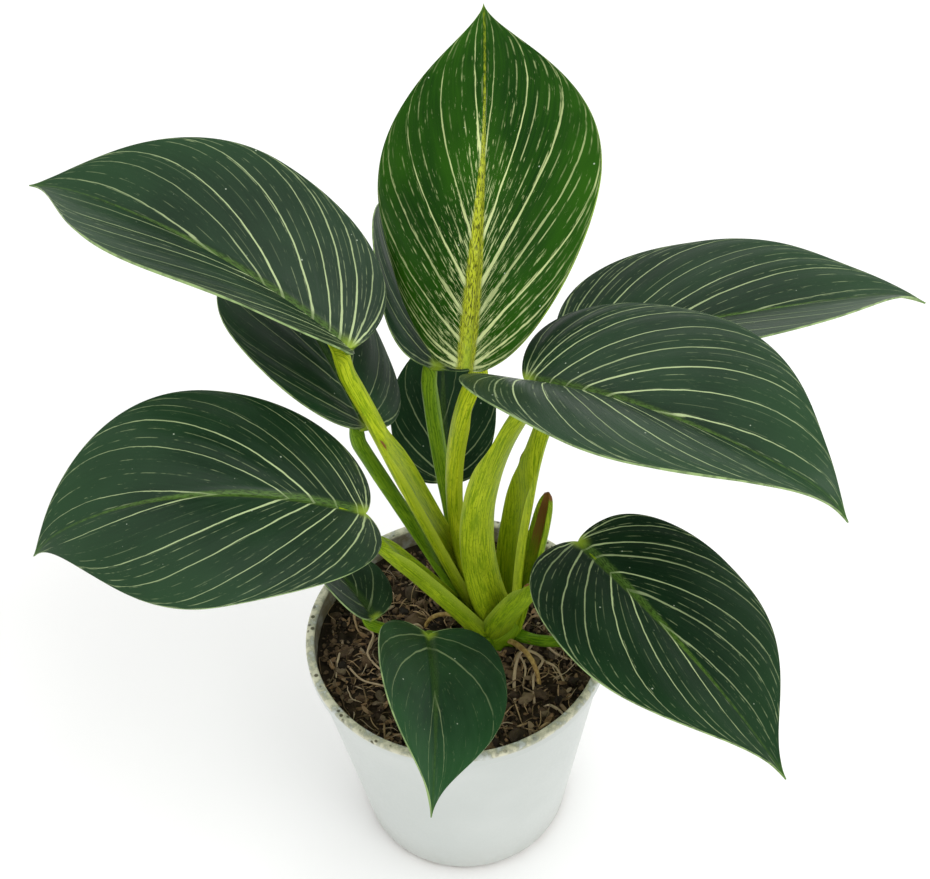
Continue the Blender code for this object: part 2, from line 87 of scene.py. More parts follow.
# Bare roots that lie on the mix: x, y and height over it along each, and its radius
SURFACE_ROOTS = (
    (((21, -29, 0.2), (21.5, -18, 1.6), (24, -9, 2.4), (28, -7, 3.0), (33, -12, 2.2), (29, -19, 1.6),
      (28.5, -30, 0.2)), 0.75),
    (((27, -7, 2.6), (32, -3, 2.6), (38, -8, 2.0), (43, -10, 0.4)), 0.6),
    (((33, -12, 2.0), (38, -15, 1.8), (41, -22, 0.3)), 0.55),
    (((24, -9, 2.2), (26, -15, 1.4), (24.5, -22, 0.2)), 0.5),
    (((-30, -12, 0.3), (-36, -4, 1.8), (-34, 6, 1.6), (-40, 12, 0.2)), 0.5),
    (((-44, -8, 0.3), (-38, -16, 1.8), (-29, -20, 1.2), (-24, -28, 0.2)), 0.45),
    (((40, 6, 0.3), (45, -2, 1.6), (44, -14, 0.4)), 0.45),
)

# The stem
STEM_X = 15.5
STEM_Y = 6.0
STEM_RADIUS = 12.5
# Aerial roots: x, y and height over the mix of each one's course, where it dives in, and its radius
AERIAL_ROOTS = (
    (((20.0, -3.0, 5), (27, -11, 10), (30.5, -18, 9)), (31.0, -22.0), 1.15),
    (((10.0, 3.0, 9), (2, 5, 13), (-10, 8, 15)), (-13.0, 9.0), 1.1),
)

# The blades
BLADE_THICKNESS = 0.6
RIB_DEPTH = 2.4
RIB_HALF_WIDTH = 2.4
BASAL_SHARE = 0.34
VEIN_LEAVING = 26.0
NOTCH_SHARE = 0.02
QUILT_HEIGHT = 0.16
MIDRIB_GROOVE = 0.75
SHOULDER_HEIGHT = 0.3
WAVE_HEIGHT = 1.1
WAVE_SCALE = 0.03
BLADE_ROWS = 104
BLADE_COLUMNS = 34
PACKED_MM = 100.0  # a length in the map called measure is kept in units of this many millimetres

# The blades' looks
STRIPE_GIRTH = 0.155
STRIPE_WOBBLE = 1.1
HEART_COLOUR = (0.30, 0.42, 0.03)
TIP_COLOUR = (0.045, 0.130, 0.006)
SPECK_COLOUR = (0.48, 0.56, 0.42)
LOWER_LINE_COLOUR = (0.22, 0.33, 0.12)
LOWER_STRIPE_COLOUR = (0.30, 0.42, 0.16)

# The petioles
TOP_WIDTH = 6.6
TOP_DEPTH = 6.0
SHEATH_DEPTH_SHARE = 0.6
SMALL_LEAF_LENGTH = 80.0
SMALL_PETIOLE = 0.8
SEAT = 3.3
PETIOLE_STATIONS = 90
TAIL = 10.0
# painted shade: darker green for the petioles' feet and the lower crown, where they crowd together above the
# mix
FOOT_SHADE_COLOUR = (0.040, 0.125, 0.002)

# The camera, worked out from the pot's rim and base in the photograph
CAMERA_TARGET = Vector((6.9, 0.0, 216.0))
CAMERA_ELEVATION = 45.0
CAMERA_DISTANCE = 518.0
CAMERA_ROLL = -2.9
CAMERA_LENS = 58.06

# The key light, in metres and watts
KEY_PLACE = Vector((0.50, -0.45, 1.30))
KEY_TARGET = Vector((0.0, 0.0, 0.12))
KEY_SIZE = 0.8
KEY_POWER = 7.0


@dataclass
class Leaf:
    """One leaf: where its petiole carries the blade, how the blade lies and is striped, and its petiole."""

    name: str
    base: tuple  # x, y and height above the pot's rim, where the petiole meets the blade
    heading: float
    pitch: float
    droop: float
    sweep: float
    roll: float
    twist: float
    length: float
    width: float
    fold: float
    curl: float
    hook: float
    lobe: float
    root: tuple  # x, y and height above the rim of the petiole's foot, inside the stem
    sag: tuple  # how far the petiole's middle bows aside from a straight line
    sheath: tuple  # width at the foot, and the share of the petiole that is winged
    widest: float = 0.43
    tip: float = 0.14
    neck: float = TOP_WIDTH  # width of the petiole above its sheath
    stripes: int = 9
    faint: float = 0.0  # how far the stripes have faded, as they do on the oldest leaves
    pale: float = 1.0  # brightness of the blade's green, set leaf by leaf to offset how it is lit: painted light above 1, painted shade below 1
    sheen: float = 0.2  # specular level of the blade's upper face
    young: float = 0.0  # 1 on the newest leaf: bright green, broad cream streaks
    tone: float = 0.5  # 0 for a dark green petiole, 1 for a yellow one
    seed: int = 1


LEAVES = (
    Leaf("upper_left", (-30, 12, 140), -120, 31, 31, 8, 17, -24, 128, 85, 33, 7, 12, 0.05,
         root=(12, 7, -3), sag=(0, -2, 3), sheath=(15, 0.76), neck=9.2, stripes=10, tone=0.85, seed=3),
    Leaf("lower_left", (-28, -23, 96), -81, 34, 77, -6, 1, -31, 123, 83, 14, 22, 10, 0.05,
         root=(10, 2, -3), sag=(-2, 0, 6), sheath=(16, 0.84), neck=9.6, stripes=8, tone=0.5, seed=7),
    Leaf("top", (9, 5, 135), 167, 49, 28, 12, -49, 46, 131, 88, 12, 25, 7, 0.02,
         root=(10, 6, 2), sag=(-10, 2, 8), sheath=(13, 0.92), neck=9.2, stripes=9, young=1.0, sheen=0.07,
         tone=1.0, seed=12),
    Leaf("right", (27, -15, 146), 44, 26, 42, 9, -5, -3, 121, 82, 39, 33, 30, 0.11,
         root=(17, 2, 1), sag=(-13, -4, 9), sheath=(15, 0.86), neck=10.0, stripes=10, tone=0.72, seed=21),
    Leaf("back_right", (42, 20, 126), 85, 19, 21, 8, -10, -10, 126, 84, 25, 10, 28, 0.04,
         root=(20, 7, -3), sag=(-5, 1, 6), sheath=(15, 0.66), neck=8.6, stripes=9, tone=0.8, seed=33),
    # pale below 1: painted shade on a leaf that the lamp lights strongly
    Leaf("lower_right", (43, -36, 91), 32, 6, 25, -1, -1, -23, 106, 72, 15, 20, 9, 0.04,
         root=(15.5, 2, -3), sag=(-3.5, -1, 3), sheath=(16, 0.72), neck=9.0, stripes=8, pale=0.78, sheen=0.08,
         tone=0.4, seed=41),
    # pale above 1: painted light on a leaf that sits in shade
    Leaf("back_left", (-28, 13, 102), -154, 23, 25, 3, 39, -20, 104, 69, 9, 25, 5, 0.03,
         root=(9, 8, -4), sag=(-2, 3, 0), sheath=(10, 0.50), stripes=7, faint=0.45, pale=1.25, sheen=0.09,
         tone=0.15, seed=52),
    Leaf("back", (-2, 32, 112), -175, 20, 28, 9, 32, 31, 86, 63, 15, -2, 6, 0.05,
         root=(11, 9, -3), sag=(-3, 1, -2), sheath=(11, 0.45), stripes=7, faint=0.45, sheen=0.09, tone=0.2,
         seed=63),
    Leaf("low_back", (-2, 36, 48), 178, 30, 20, 0, 0, 0, 72, 42, 12, 10, 5, 0.04,
         root=(15, 10, -4), sag=(0, 3, -4), sheath=(9, 0.45), widest=0.40, stripes=5, faint=0.5, sheen=0.09,
         tone=0.1, seed=74),
    # pale above 1: painted light on a leaf that sits in shade
    Leaf("front", (-10, -31, 38), 7, 12, 31, -15, -20, -20, 75, 51, 24, 5, 5, 0.03,
         root=(13, 1, -5), sag=(0, -3, 2), sheath=(8, 0.40), widest=0.36, tip=0.20, stripes=4, faint=0.62,
         pale=1.5, sheen=0.12, tone=0.2, seed=85),
    Leaf("low_left", (-31, -10, 23), -145, 20, 30, 0, 22, 0, 42, 28, 25, 5, 5, 0.03,
         root=(11, 3, -5), sag=(0, 0, -6), sheath=(8, 0.55), widest=0.36, tip=0.20, stripes=3, faint=0.5,
         tone=0.2, seed=96),
    Leaf("low_right", (46, -14, 15), 76, 8, 30, 0, 0, 0, 46, 30, 20, 5, 5, 0.03,
         root=(20, 2, -5), sag=(0, 0, -4), sheath=(8, 0.45), widest=0.36, tip=0.20, stripes=3,
         tone=0.1, seed=98),
)


# Small tools for curves and meshes

def unit(vectors):
    return vectors / np.linalg.norm(vectors, axis=-1, keepdims=True)


def smooth_step(value, low, high):
    share = np.clip((np.asarray(value, float) - low) / (high - low), 0, 1)
    return share * share * (3 - 2 * share)


def cubic(points, t):
    """A cubic Bezier curve at parameters t."""
    p = np.asarray(points, float)
    t = np.asarray(t, float)[..., None]
    return (1 - t) ** 3 * p[0] + 3 * (1 - t) ** 2 * t * p[1] + 3 * (1 - t) * t**2 * p[2] + t**3 * p[3]


def noise_at(points, scale, seed=0.0):
    """Smooth noise, about -1 to 1, at each of the points."""
    return np.array([noise.noise(Vector(p) * scale + Vector((seed, seed * 0.7, -seed))) for p in points])


def run_along(points):
    """Distance of each point along the line, from its first."""
    return np.concatenate([[0], np.cumsum(np.linalg.norm(np.diff(points, axis=0), axis=1))])


def read_off(where, places, rows):
    """Rows of values at each place asked for, between the places that they belong to."""
    return np.stack([np.interp(where, places, column) for column in np.transpose(rows)], -1)


def resample(points, count):
    """The same line with its points evenly spaced, and each one's distance from the first."""
    run = run_along(points)
    even = np.linspace(0, run[-1], count)
    return read_off(even, run, points), even


def ring(radius, z, columns):
    """Points of a level circle round the pot's axis."""
    angles = np.linspace(0, math.tau, columns, endpoint=False)
    return np.stack([radius * np.cos(angles), radius * np.sin(angles), np.full(columns, z)], 1)


def grid_faces(rows, columns, closed=False, start=0):
    """Quads between neighbouring rows of vertices; closed joins each row's last column to its first."""
    i = np.arange(rows - 1)[:, None]
    j = np.arange(columns if closed else columns - 1)[None, :]
    k = (j + 1) % columns
    quads = np.stack([i * columns + j, i * columns + k, (i + 1) * columns + k, (i + 1) * columns + j], -1)
    return (quads.reshape(-1, 4) + start).tolist()


def capped_rings(rows, columns):
    """Faces of a tube of vertex rings, with a face over each end."""
    last = (rows - 1) * columns
    caps = [list(range(columns))[::-1], [last + k for k in range(columns)]]
    return grid_faces(rows, columns, closed=True) + caps


def make_mesh(name, points, faces, uvs, face_slots=None, smooth=True, weld=False):
    """A mesh from points in millimetres, with a UV map for each named pair of values a point carries."""
    mesh = bpy.data.meshes.new(name)
    mesh.from_pydata((np.asarray(points) * MM).tolist(), [], faces)
    corners = np.empty(len(mesh.loops), int)
    mesh.loops.foreach_get("vertex_index", corners)
    for layer, values in uvs.items():
        data = mesh.uv_layers.new(name=layer).data
        data.foreach_set("uv", np.asarray(values, np.float32)[corners].ravel())
    if face_slots is not None:
        mesh.polygons.foreach_set("material_index", np.asarray(face_slots, np.int32))
    if weld:
        bm = bmesh.new()
        bm.from_mesh(mesh)
        bmesh.ops.remove_doubles(bm, verts=bm.verts, dist=1e-6)
        bmesh.ops.dissolve_degenerate(bm, edges=bm.edges, dist=1e-7)
        bm.to_mesh(mesh)
        bm.free()
    if smooth:
        mesh.shade_smooth()
    return mesh


def add_piece(name, mesh, material, replaced=()):
    """A visible piece of the object, riding on its only body."""
    obj = bpy.data.objects.new(name, mesh)
    bpy.context.scene.collection.objects.link(obj)
    obj.data.materials.append(material)
    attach(obj, "root")
    for node in replaced:
        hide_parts(node)
    return obj


# Small tools for materials

class Graph:
    """One material's node graph, with a method for each kind of node it needs."""

    def __init__(self, name):
        self.material = bpy.data.materials.new(name)
        self.material.use_nodes = True
        self.nodes = self.material.node_tree.nodes
        self.links = self.material.node_tree.links
        self.shader = self.nodes["Principled BSDF"]

    def feed(self, socket, value):
        if isinstance(value, bpy.types.NodeSocket):
            self.links.new(value, socket)
        elif hasattr(socket.default_value, "__len__") and len(socket.default_value) == 4:
            socket.default_value = (*value[:3], 1.0)
        else:
            socket.default_value = value

    def feed_all(self, node, values):
        for socket, value in zip(node.inputs, values):
            self.feed(socket, value)

    def calc(self, operation, *values):
        node = self.nodes.new("ShaderNodeMath")
        node.operation = operation
        self.feed_all(node, values)
        return node.outputs[0]

    def times(self, *values):
        result = values[0]
        for value in values[1:]:
            result = self.calc("MULTIPLY", result, value)
        return result

    def plus(self, first, second):
        return self.calc("ADD", first, second)

    def minus(self, first, second):
        return self.calc("SUBTRACT", first, second)

    def step(self, value, low, high, out_low=0.0, out_high=1.0):
        """Rises smoothly from out_low to out_high as the value goes from low to high."""
        node = self.nodes.new("ShaderNodeMapRange")
        node.interpolation_type = "SMOOTHSTEP"
        self.feed_all(node, (value, low, high, out_low, out_high))
        return node.outputs[0]

    def mix(self, share, first, second):
        node = self.nodes.new("ShaderNodeMix")
        node.data_type = "RGBA"
        self.feed(node.inputs[0], share)
        self.feed(node.inputs[6], first)
        self.feed(node.inputs[7], second)
        return node.outputs[2]

    def vector(self, x, y, z=0.0):
        node = self.nodes.new("ShaderNodeCombineXYZ")
        self.feed_all(node, (x, y, z))
        return node.outputs[0]

    def noise(self, where, scale=1.0, detail=2.0, roughness=0.5):
        node = self.nodes.new("ShaderNodeTexNoise")
        self.feed(node.inputs["Vector"], where)
        node.inputs["Scale"].default_value = scale
        node.inputs["Detail"].default_value = detail
        node.inputs["Roughness"].default_value = roughness
        return node.outputs[0]

    def streaks(self, pair, scales, depth=0.0, detail=2.0, roughness=0.5):
        """Noise that is stretched by a scale of its own along each of a pair of coordinates."""
        where = self.vector(self.times(pair[0], scales[0]), self.times(pair[1], scales[1]), depth)
        return self.noise(where, 1.0, detail, roughness)

    def cells(self, where, scale):
        """Distance to the nearest of many scattered points."""
        node = self.nodes.new("ShaderNodeTexVoronoi")
        self.feed(node.inputs["Vector"], where)
        node.inputs["Scale"].default_value = scale
        return node.outputs["Distance"]

    def dice(self, value):
        """A random number from 0 to 1, the same for the same value."""
        node = self.nodes.new("ShaderNodeTexWhiteNoise")
        node.noise_dimensions = "1D"
        self.feed(node.inputs["W"], value)
        return node.outputs["Value"]

    def uv(self, layer):
        node = self.nodes.new("ShaderNodeUVMap")
        node.uv_map = layer
        return self.split(node.outputs[0])[:2]

    def place(self):
        return self.nodes.new("ShaderNodeTexCoord").outputs["Object"]

    def split(self, vector):
        node = self.nodes.new("ShaderNodeSeparateXYZ")
        self.feed(node.inputs[0], vector)
        return node.outputs[0], node.outputs[1], node.outputs[2]

    def bump(self, height, distance, strength):
        node = self.nodes.new("ShaderNodeBump")
        node.inputs["Strength"].default_value = strength
        node.inputs["Distance"].default_value = distance
        self.feed(node.inputs["Height"], height)
        self.links.new(node.outputs[0], self.shader.inputs["Normal"])

    def finish(self, colour, roughness, specular):
        self.feed(self.shader.inputs["Base Color"], colour)
        self.feed(self.shader.inputs["Roughness"], roughness)
        self.shader.inputs["Specular IOR Level"].default_value = specular
        return self.material


# The form of a blade, as in the solids

def half_outline(leaf, count=500):
    """The margin of one half of the flat blade from the basal notch to the tip, as x along and y across."""
    t = np.linspace(0, 1, 300)
    shoulder = cubic([(0, 0), (-1.9 * leaf.lobe, 0.33), (leaf.widest - 0.25, 0.5), (leaf.widest, 0.5)], t)
    taper = cubic([(leaf.widest, 0.5), (leaf.widest + 0.30, 0.5), (1 - leaf.tip, 0.03), (1, 0)], t)
    points = np.vstack([shoulder, taper[1:]]) * (leaf.length, leaf.width)
    return resample(points, count)[0]


def along_midrib(leaf, x):
    """Position, direction and heading of the arched midrib at each x along it."""
    steps = np.linspace(0, 1, 241)
    hook = np.clip((steps - 0.82) / 0.18, 0, 1)
    pitch = np.radians(leaf.pitch - leaf.droop * steps**1.3 - leaf.hook * hook * hook * (3 - 2 * hook))
    heading = np.radians(leaf.heading + leaf.sweep * steps)
    ahead = np.stack([np.sin(heading) * np.cos(pitch), -np.cos(heading) * np.cos(pitch), np.sin(pitch)], 1)
    run = np.vstack([[0, 0, 0], np.cumsum((ahead[1:] + ahead[:-1]) / 2 * leaf.length / 240, axis=0)])
    u = np.clip(x / leaf.length, 0, 1)
    tangent = unit(read_off(u, steps, ahead))
    place = read_off(u, steps, run) + tangent * np.minimum(x, 0)[..., None]
    return place, tangent, np.interp(u, steps, heading)


def blade_frame(leaf, x):
    """Position, forward, leftward and upward directions of the blade at each x along the midrib."""
    x = np.asarray(x, float)
    place, tangent, heading = along_midrib(leaf, x)
    left = np.stack([np.cos(heading), np.sin(heading), 0 * heading], -1)
    up = unit(np.cross(tangent, left))
    roll = np.radians(leaf.roll + leaf.twist * np.clip(x / leaf.length, 0, 1))[..., None]
    base = np.array(leaf.base, float) + (0, 0, RIM_HEIGHT)
    rolled = left * np.cos(roll) + up * np.sin(roll)
    return base + place, tangent, rolled, np.cross(tangent, rolled)


def vein_grid(leaf, a, t):
    """Flat x and y of the points a share t out along lateral veins a, which sweep from midrib to margin."""
    margin = half_outline(leaf)
    index = a * (len(margin) - 1)
    places = np.arange(len(margin))
    end = read_off(index, places, margin)
    arrive = read_off(index, places, unit(np.gradient(margin, axis=0)))
    share = np.clip((a - BASAL_SHARE) / (1 - BASAL_SHARE), 0, 1)
    arrive[:, 1] *= 1 - share**40
    start = np.stack([leaf.length * (0.36 * share**2 + 0.28 * share**24), 0 * a], 1)
    chord = end - start
    turn = np.radians(VEIN_LEAVING) * (1 - share**8)
    leave = np.stack([chord[:, 0] * np.cos(turn) - chord[:, 1] * np.sin(turn),
                      chord[:, 0] * np.sin(turn) + chord[:, 1] * np.cos(turn)], 1)
    span = np.linalg.norm(chord, axis=1)[:, None]
    controls = [start, start + 0.36 * leave, end - 0.33 * span * arrive, end]
    curve = cubic(np.stack(controls)[:, :, None], np.broadcast_to(t, (len(a), len(t))))
    return curve[..., 0], np.maximum(curve[..., 1], 0)


def stripe_count(leaf, a):
    """Runs from 0 to the number of stripes along the margin, with a half on each, closer near the tip."""
    draw = random.Random(leaf.seed)
    shares = [(k + 0.5 + draw.uniform(-0.24, 0.24)) / leaf.stripes for k in range(leaf.stripes)]
    places = [1 - (1 - share) ** 1.3 for share in shares]
    halves = [k + 0.5 for k in range(leaf.stripes)]
    return np.interp(a, [0.0, *places, 1.0], [0.0, *halves, float(leaf.stripes)])


def blade_relief(leaf, count, t, spacing, x, y, side):
    """Height that the veins, the midrib's groove and a slight waviness give the upper face."""
    fade = 1 - np.clip(x / leaf.length, 0, 1)
    inland = smooth_step(t, 0.03, 0.2) * (1 - smooth_step(t, 0.85, 1))
    quilt = QUILT_HEIGHT * np.cos(2 * np.pi * count) * smooth_step(spacing, 3.0, 8.0) * inland
    groove = -MIDRIB_GROOVE * (0.25 + 0.75 * fade) * np.exp(-((y / 1.3) ** 2)) * smooth_step(x, 0, 3)
    shoulder = SHOULDER_HEIGHT * fade * np.exp(-(((y - 2.4) / 1.1) ** 2)) * smooth_step(x, 0, 4)
    flat = np.stack([x * WAVE_SCALE, y * side * WAVE_SCALE, 0 * x], -1).reshape(-1, 3)
    wave = noise_at(flat, 1.0, leaf.seed).reshape(x.shape) * WAVE_HEIGHT * smooth_step(t, 0.25, 1)
    return quilt + groove + shoulder + wave


def blade_half(leaf, side):
    """Upper and lower surface points of one half, and what each point carries for the material."""
    a = NOTCH_SHARE + (1 - NOTCH_SHARE) * np.linspace(0, 1, BLADE_ROWS)
    t = np.linspace(0, 1, BLADE_COLUMNS) ** 1.5
    x, y = vein_grid(leaf, a, t)
    count = np.repeat(stripe_count(leaf, a)[:, None], len(t), 1) + 40.0 * (side < 0)
    across = np.repeat(t[None, :], len(a), 0)
    dx_a, dx_t = np.gradient(x, count[:, 0], t)
    dy_a, dy_t = np.gradient(y, count[:, 0], t)
    reach = np.hypot(dx_t, dy_t) + 1e-6
    spacing = np.abs(dx_a * dy_t - dy_a * dx_t) / reach
    edge = (1 - across) * reach

    place, _, left, up = blade_frame(leaf, x)
    u = np.clip(x / leaf.length, 0, 1)
    rise = (np.radians(leaf.fold) * (1 - 0.4 * u) - np.radians(leaf.curl) * y / leaf.width)[..., None]
    surface = place + left * (side * y[..., None] * np.cos(rise)) + up * (y[..., None] * np.sin(rise))
    turn = rise * smooth_step(y, 0, 3)[..., None]
    normal = up * np.cos(turn) - left * (side * np.sin(turn))

    height = blade_relief(leaf, count, across, spacing, x, y, side)[..., None]
    fade = (1 - u) ** 0.8
    rib = (RIB_DEPTH * fade * np.exp(-((y / RIB_HALF_WIDTH) ** 2)))[..., None]
    upper = surface + normal * height
    lower = surface + normal * (np.minimum(height, 0.3) * (rib < 0.6) - BLADE_THICKNESS - rib)
    carried = {
        "veins": np.stack([count, across], -1),
        "flat": np.stack([x / leaf.length, side * y / leaf.width], -1),
        "measure": np.stack([spacing, edge], -1) / PACKED_MM,
    }
    return upper, lower, carried


def build_leaf(leaf):
    """One closed blade: both halves, both faces and the edge between them."""
    points, faces, slots = [], [], []
    carried = {"veins": [], "flat": [], "measure": []}
    start = 0
    for side in (1, -1):
        upper, lower, values = blade_half(leaf, side)
        rows, columns = upper.shape[:2]
        size = rows * columns
        for face, sheet in enumerate((upper, lower)):
            points.append(sheet.reshape(-1, 3))
            for layer in carried:
                carried[layer].append(values[layer].reshape(-1, 2))
            quads = grid_faces(rows, columns, start=start + face * size)
            flipped = (side > 0) == (face == 0)
            faces += [quad[::-1] for quad in quads] if flipped else quads
            slots += [face] * len(quads)
        margin = [i * columns + columns - 1 for i in range(rows)]
        notch = list(range(columns))
        for line, turned in ((margin, side > 0), (notch, side < 0)):
            for p, q in zip(line, line[1:]):
                quad = [start + p, start + q, start + size + q, start + size + p]
                faces.append(quad[::-1] if turned else quad)
                slots.append(0)
        start += 2 * size
    uvs = {layer: np.vstack(values) for layer, values in carried.items()}
    name = f"leaf_{leaf.name}"
    mesh = make_mesh(name, np.vstack(points), faces, uvs, slots, weld=True)
    mesh.set_sharp_from_angle(angle=math.radians(60))
    piece = add_piece(name, mesh, blade_material(leaf), [f"blade_{leaf.name}"])
    piece.data.materials.append(underside_material(leaf))


# The blades' materials

def stripe_masks(g, leaf, count, across, spacing):
    """How strongly the bold stripes, the thin lines between them and the fine dashes cover a point."""
    young = leaf.young
    line = g.calc("FLOOR", count)
    name = g.plus(line, leaf.seed * 1.37)
    luck, luck_too = g.dice(name), g.dice(g.plus(name, 0.43))
    streak = g.streaks((count, across), (20.0, 9.0), detail=3.0, roughness=0.6)
    wobble = g.times(g.minus(g.streaks((across, name), (7.0, 3.1)), 0.5), STRIPE_WOBBLE)
    off = g.times(g.minus(g.minus(count, line), 0.5), spacing)
    gap = g.calc("ABSOLUTE", g.plus(off, wobble))
    girth = g.times(
        g.plus(luck, 0.7),
        STRIPE_GIRTH + 0.08 * young,
        g.step(across, 0.2, 1.0, 1.0, 0.5),
        g.step(across, 0.0, 0.35, 1.6 + 1.4 * young, 1.0),
        g.step(streak, 0.3, 0.7, 0.7 - 0.3 * young, 1.3 + 0.3 * young),
    )
    worn = g.step(across, 0.15, 1.0, 0.05, 0.44 + 0.04 * young)
    stop = g.plus(g.times(luck_too, 0.22), 0.84)
    bold = g.times(
        g.step(gap, g.plus(girth, 0.13), g.minus(girth, 0.10)),
        g.step(streak, worn, g.plus(worn, 0.14)),
        g.step(across, g.plus(stop, 0.1), stop),
        g.step(across, 0.05, 1.0, 1.0, 0.5),
        g.step(luck_too, 0.0, 0.8, 0.55, 1.0),
    )

    thirds = g.times(count, 3.0)
    cell = g.calc("FLOOR", thirds)
    lot = g.dice(g.plus(cell, leaf.seed * 0.71))
    middle = g.plus(g.times(lot, 0.4), 0.3)
    off = g.calc("ABSOLUTE", g.minus(g.minus(thirds, cell), middle))
    gap = g.times(off, g.calc("DIVIDE", spacing, 3.0))
    dash = g.streaks((across, lot), (11.0, 70.0), detail=3.0, roughness=0.6)
    reach = 0.10 + 0.10 * young
    thin = g.times(
        g.step(gap, reach + 0.12, reach - 0.06),
        g.step(dash, 0.46 - 0.02 * young, 0.60),
        g.step(across, 0.1, 0.9, 1.0, 1.0 - 0.6 * young),
        g.step(lot, 0.1, 0.9, 0.3, 1.0),
    )

    grain = g.streaks((count, across), (34.0 - 12.0 * young, 15.0), leaf.seed, 3.0, 0.65)
    sparse = g.step(across, 0.0, 0.45, 0.645 - 0.13 * young, 0.645 - 0.02 * young)
    flecks = g.times(
        g.step(grain, sparse, g.plus(sparse, 0.07)),
        g.step(across, 0.0, 0.9, 1.0, 1.0 - 0.8 * young),
    )
    return bold, thin, flecks


def blade_colours(leaf):
    """Dark, light and fresh green, then stripe, midrib and edge colours of a leaf's upper face."""
    if leaf.young:
        greens = (0.0045, 0.033, 0.0006), (0.017, 0.078, 0.0012), (0.012, 0.050, 0.013)
        marks = (0.62, 0.70, 0.32), (0.46, 0.52, 0.025), (0.26, 0.40, 0.05)
    else:
        greens = (0.0055, 0.0215, 0.0075), (0.012, 0.038, 0.014), (0.012, 0.050, 0.013)
        marks = (0.44, 0.54, 0.27), (0.075, 0.155, 0.022), (0.27, 0.38, 0.15)
    # leaf.pale scales the greens to offset how each leaf is lit: painted light above 1, painted shade below 1
    return [tuple(leaf.pale * part for part in green) for green in greens] + list(marks)


def blade_material(leaf):
    """The upper face: waxy green with pinstripes that follow the lateral veins."""
    g = Graph(f"blade_{leaf.name}")
    young = leaf.young
    count, across = g.uv("veins")
    along, aside = g.uv("flat")
    spacing, edge = (g.times(value, PACKED_MM) for value in g.uv("measure"))
    dark, light, fresh, cream, rib, rim = blade_colours(leaf)

    patches = g.streaks((along, aside), (3.0, 3.0), leaf.seed, 3.0)
    silk = g.streaks((count, across), (14.0, 4.0), leaf.seed * 0.3, 4.0, 0.6)
    ground = g.mix(g.step(patches, 0.35, 0.7), dark, light)
    # painted sheen: lighter bands of green along the veins
    ground = g.mix(g.step(silk, 0.35, 0.75, 0.0, 0.5), ground, light)
    outward = g.plus(g.times(across, 0.6), g.times(along, 0.5))
    ground = g.mix(g.step(outward, 0.40, 1.0, 0.0, 0.6 - 0.6 * young), ground, fresh)
    bold, thin, flecks = stripe_masks(g, leaf, count, across, spacing)

    from_rib = g.times(g.calc("ABSOLUTE", aside), leaf.width)
    rib_reach = g.step(along, -0.1 * young, 0.8 - 0.10 * young, 3.0 + 4.2 * young, 0.6 - 0.1 * young)
    on_rib = g.step(from_rib, rib_reach, g.times(rib_reach, 0.35 + 0.3 * young))
    mottle = g.step(g.streaks((along, aside), (60.0, 210.0), 0.0, 3.0, 0.65), 0.40, 0.56)
    rib_colour = g.mix(mottle, tuple((0.4 - 0.22 * young) * part for part in rib), rib)

    colour = g.mix(g.times(flecks, 0.20 + 0.50 * young), ground, cream)
    colour = g.mix(g.times(thin, (0.36 + 0.34 * young) * (1 - leaf.faint)), colour, cream)
    rib_share = g.times(on_rib, g.step(along, 0.45, 1.0, 0.9 - 0.9 * leaf.faint, 0.25))
    colour = g.mix(rib_share, colour, rib_colour)
    off_rib = g.times(g.minus(1.0, g.times(on_rib, 0.6 + 0.35 * young)), 1 - leaf.faint)
    colour = g.mix(g.times(bold, off_rib), colour, cream)
    heart = g.times(g.step(along, 0.05 + 0.1 * young, 0.0), g.step(from_rib, 4.5, 0.5), 0.8)
    colour = g.mix(heart, colour, HEART_COLOUR)
    wear = g.step(g.noise(g.vector(g.times(count, 5.0), 3.3), 1.0, 3.0), 0.35, 0.6, 0.45, 1.0)
    brink = g.times(g.step(edge, 0.42 + 0.35 * young, 0.18), wear)
    colour = g.mix(brink, colour, rim)
    colour = g.mix(g.step(along, 0.93, 1.0, 0.0, 0.55), colour, TIP_COLOUR)
    flat_mm = g.vector(g.times(along, leaf.length), g.times(aside, leaf.width))
    specks = g.step(g.cells(flat_mm, 0.14), 0.050, 0.025, 0.0, 0.7)
    colour = g.mix(specks, colour, SPECK_COLOUR)

    rough = g.plus(g.step(silk, 0.3, 0.75, 0.36, 0.50), g.times(bold, 0.06))
    height = g.plus(g.times(silk, 0.5), g.times(bold, 0.35))
    height = g.plus(height, g.times(g.noise(g.place(), 900.0, 2.0), 0.12))
    g.bump(height, 0.25 * MM, 0.5)
    return g.finish(colour, rough, leaf.sheen)


def underside_material(leaf):
    """The lower face: paler and matter, with the veins raised and light."""
    g = Graph(f"underside_{leaf.name}")
    count, across = g.uv("veins")
    spacing = g.times(g.uv("measure")[0], PACKED_MM)
    bold, thin, flecks = stripe_masks(g, leaf, count, across, spacing)
    silk = g.streaks((count, across), (14.0, 6.0), leaf.seed, 4.0)
    lift = 1.5 if leaf.young else 1.0
    ground = g.mix(silk, (0.030 * lift, 0.080 * lift, 0.020), (0.050 * lift, 0.120 * lift, 0.030))
    colour = g.mix(g.times(flecks, 0.15), ground, LOWER_LINE_COLOUR)
    colour = g.mix(g.times(thin, 0.3), colour, LOWER_LINE_COLOUR)
    colour = g.mix(g.times(bold, 0.7), colour, LOWER_STRIPE_COLOUR)
    from_rib = g.times(g.calc("ABSOLUTE", g.uv("flat")[1]), leaf.width)
    rib_colour = g.mix(silk, (0.12, 0.24, 0.02), (0.24, 0.36, 0.05))
    colour = g.mix(g.step(from_rib, 3.6, 2.2), colour, rib_colour)
    g.bump(g.plus(g.times(silk, 0.6), bold), 0.3 * MM, 0.5)
    return g.finish(colour, g.step(silk, 0.3, 0.7, 0.5, 0.62), 0.25)


# The petioles

def petiole_scale(leaf):
    return SMALL_PETIOLE if leaf.length < SMALL_LEAF_LENGTH else 1.0


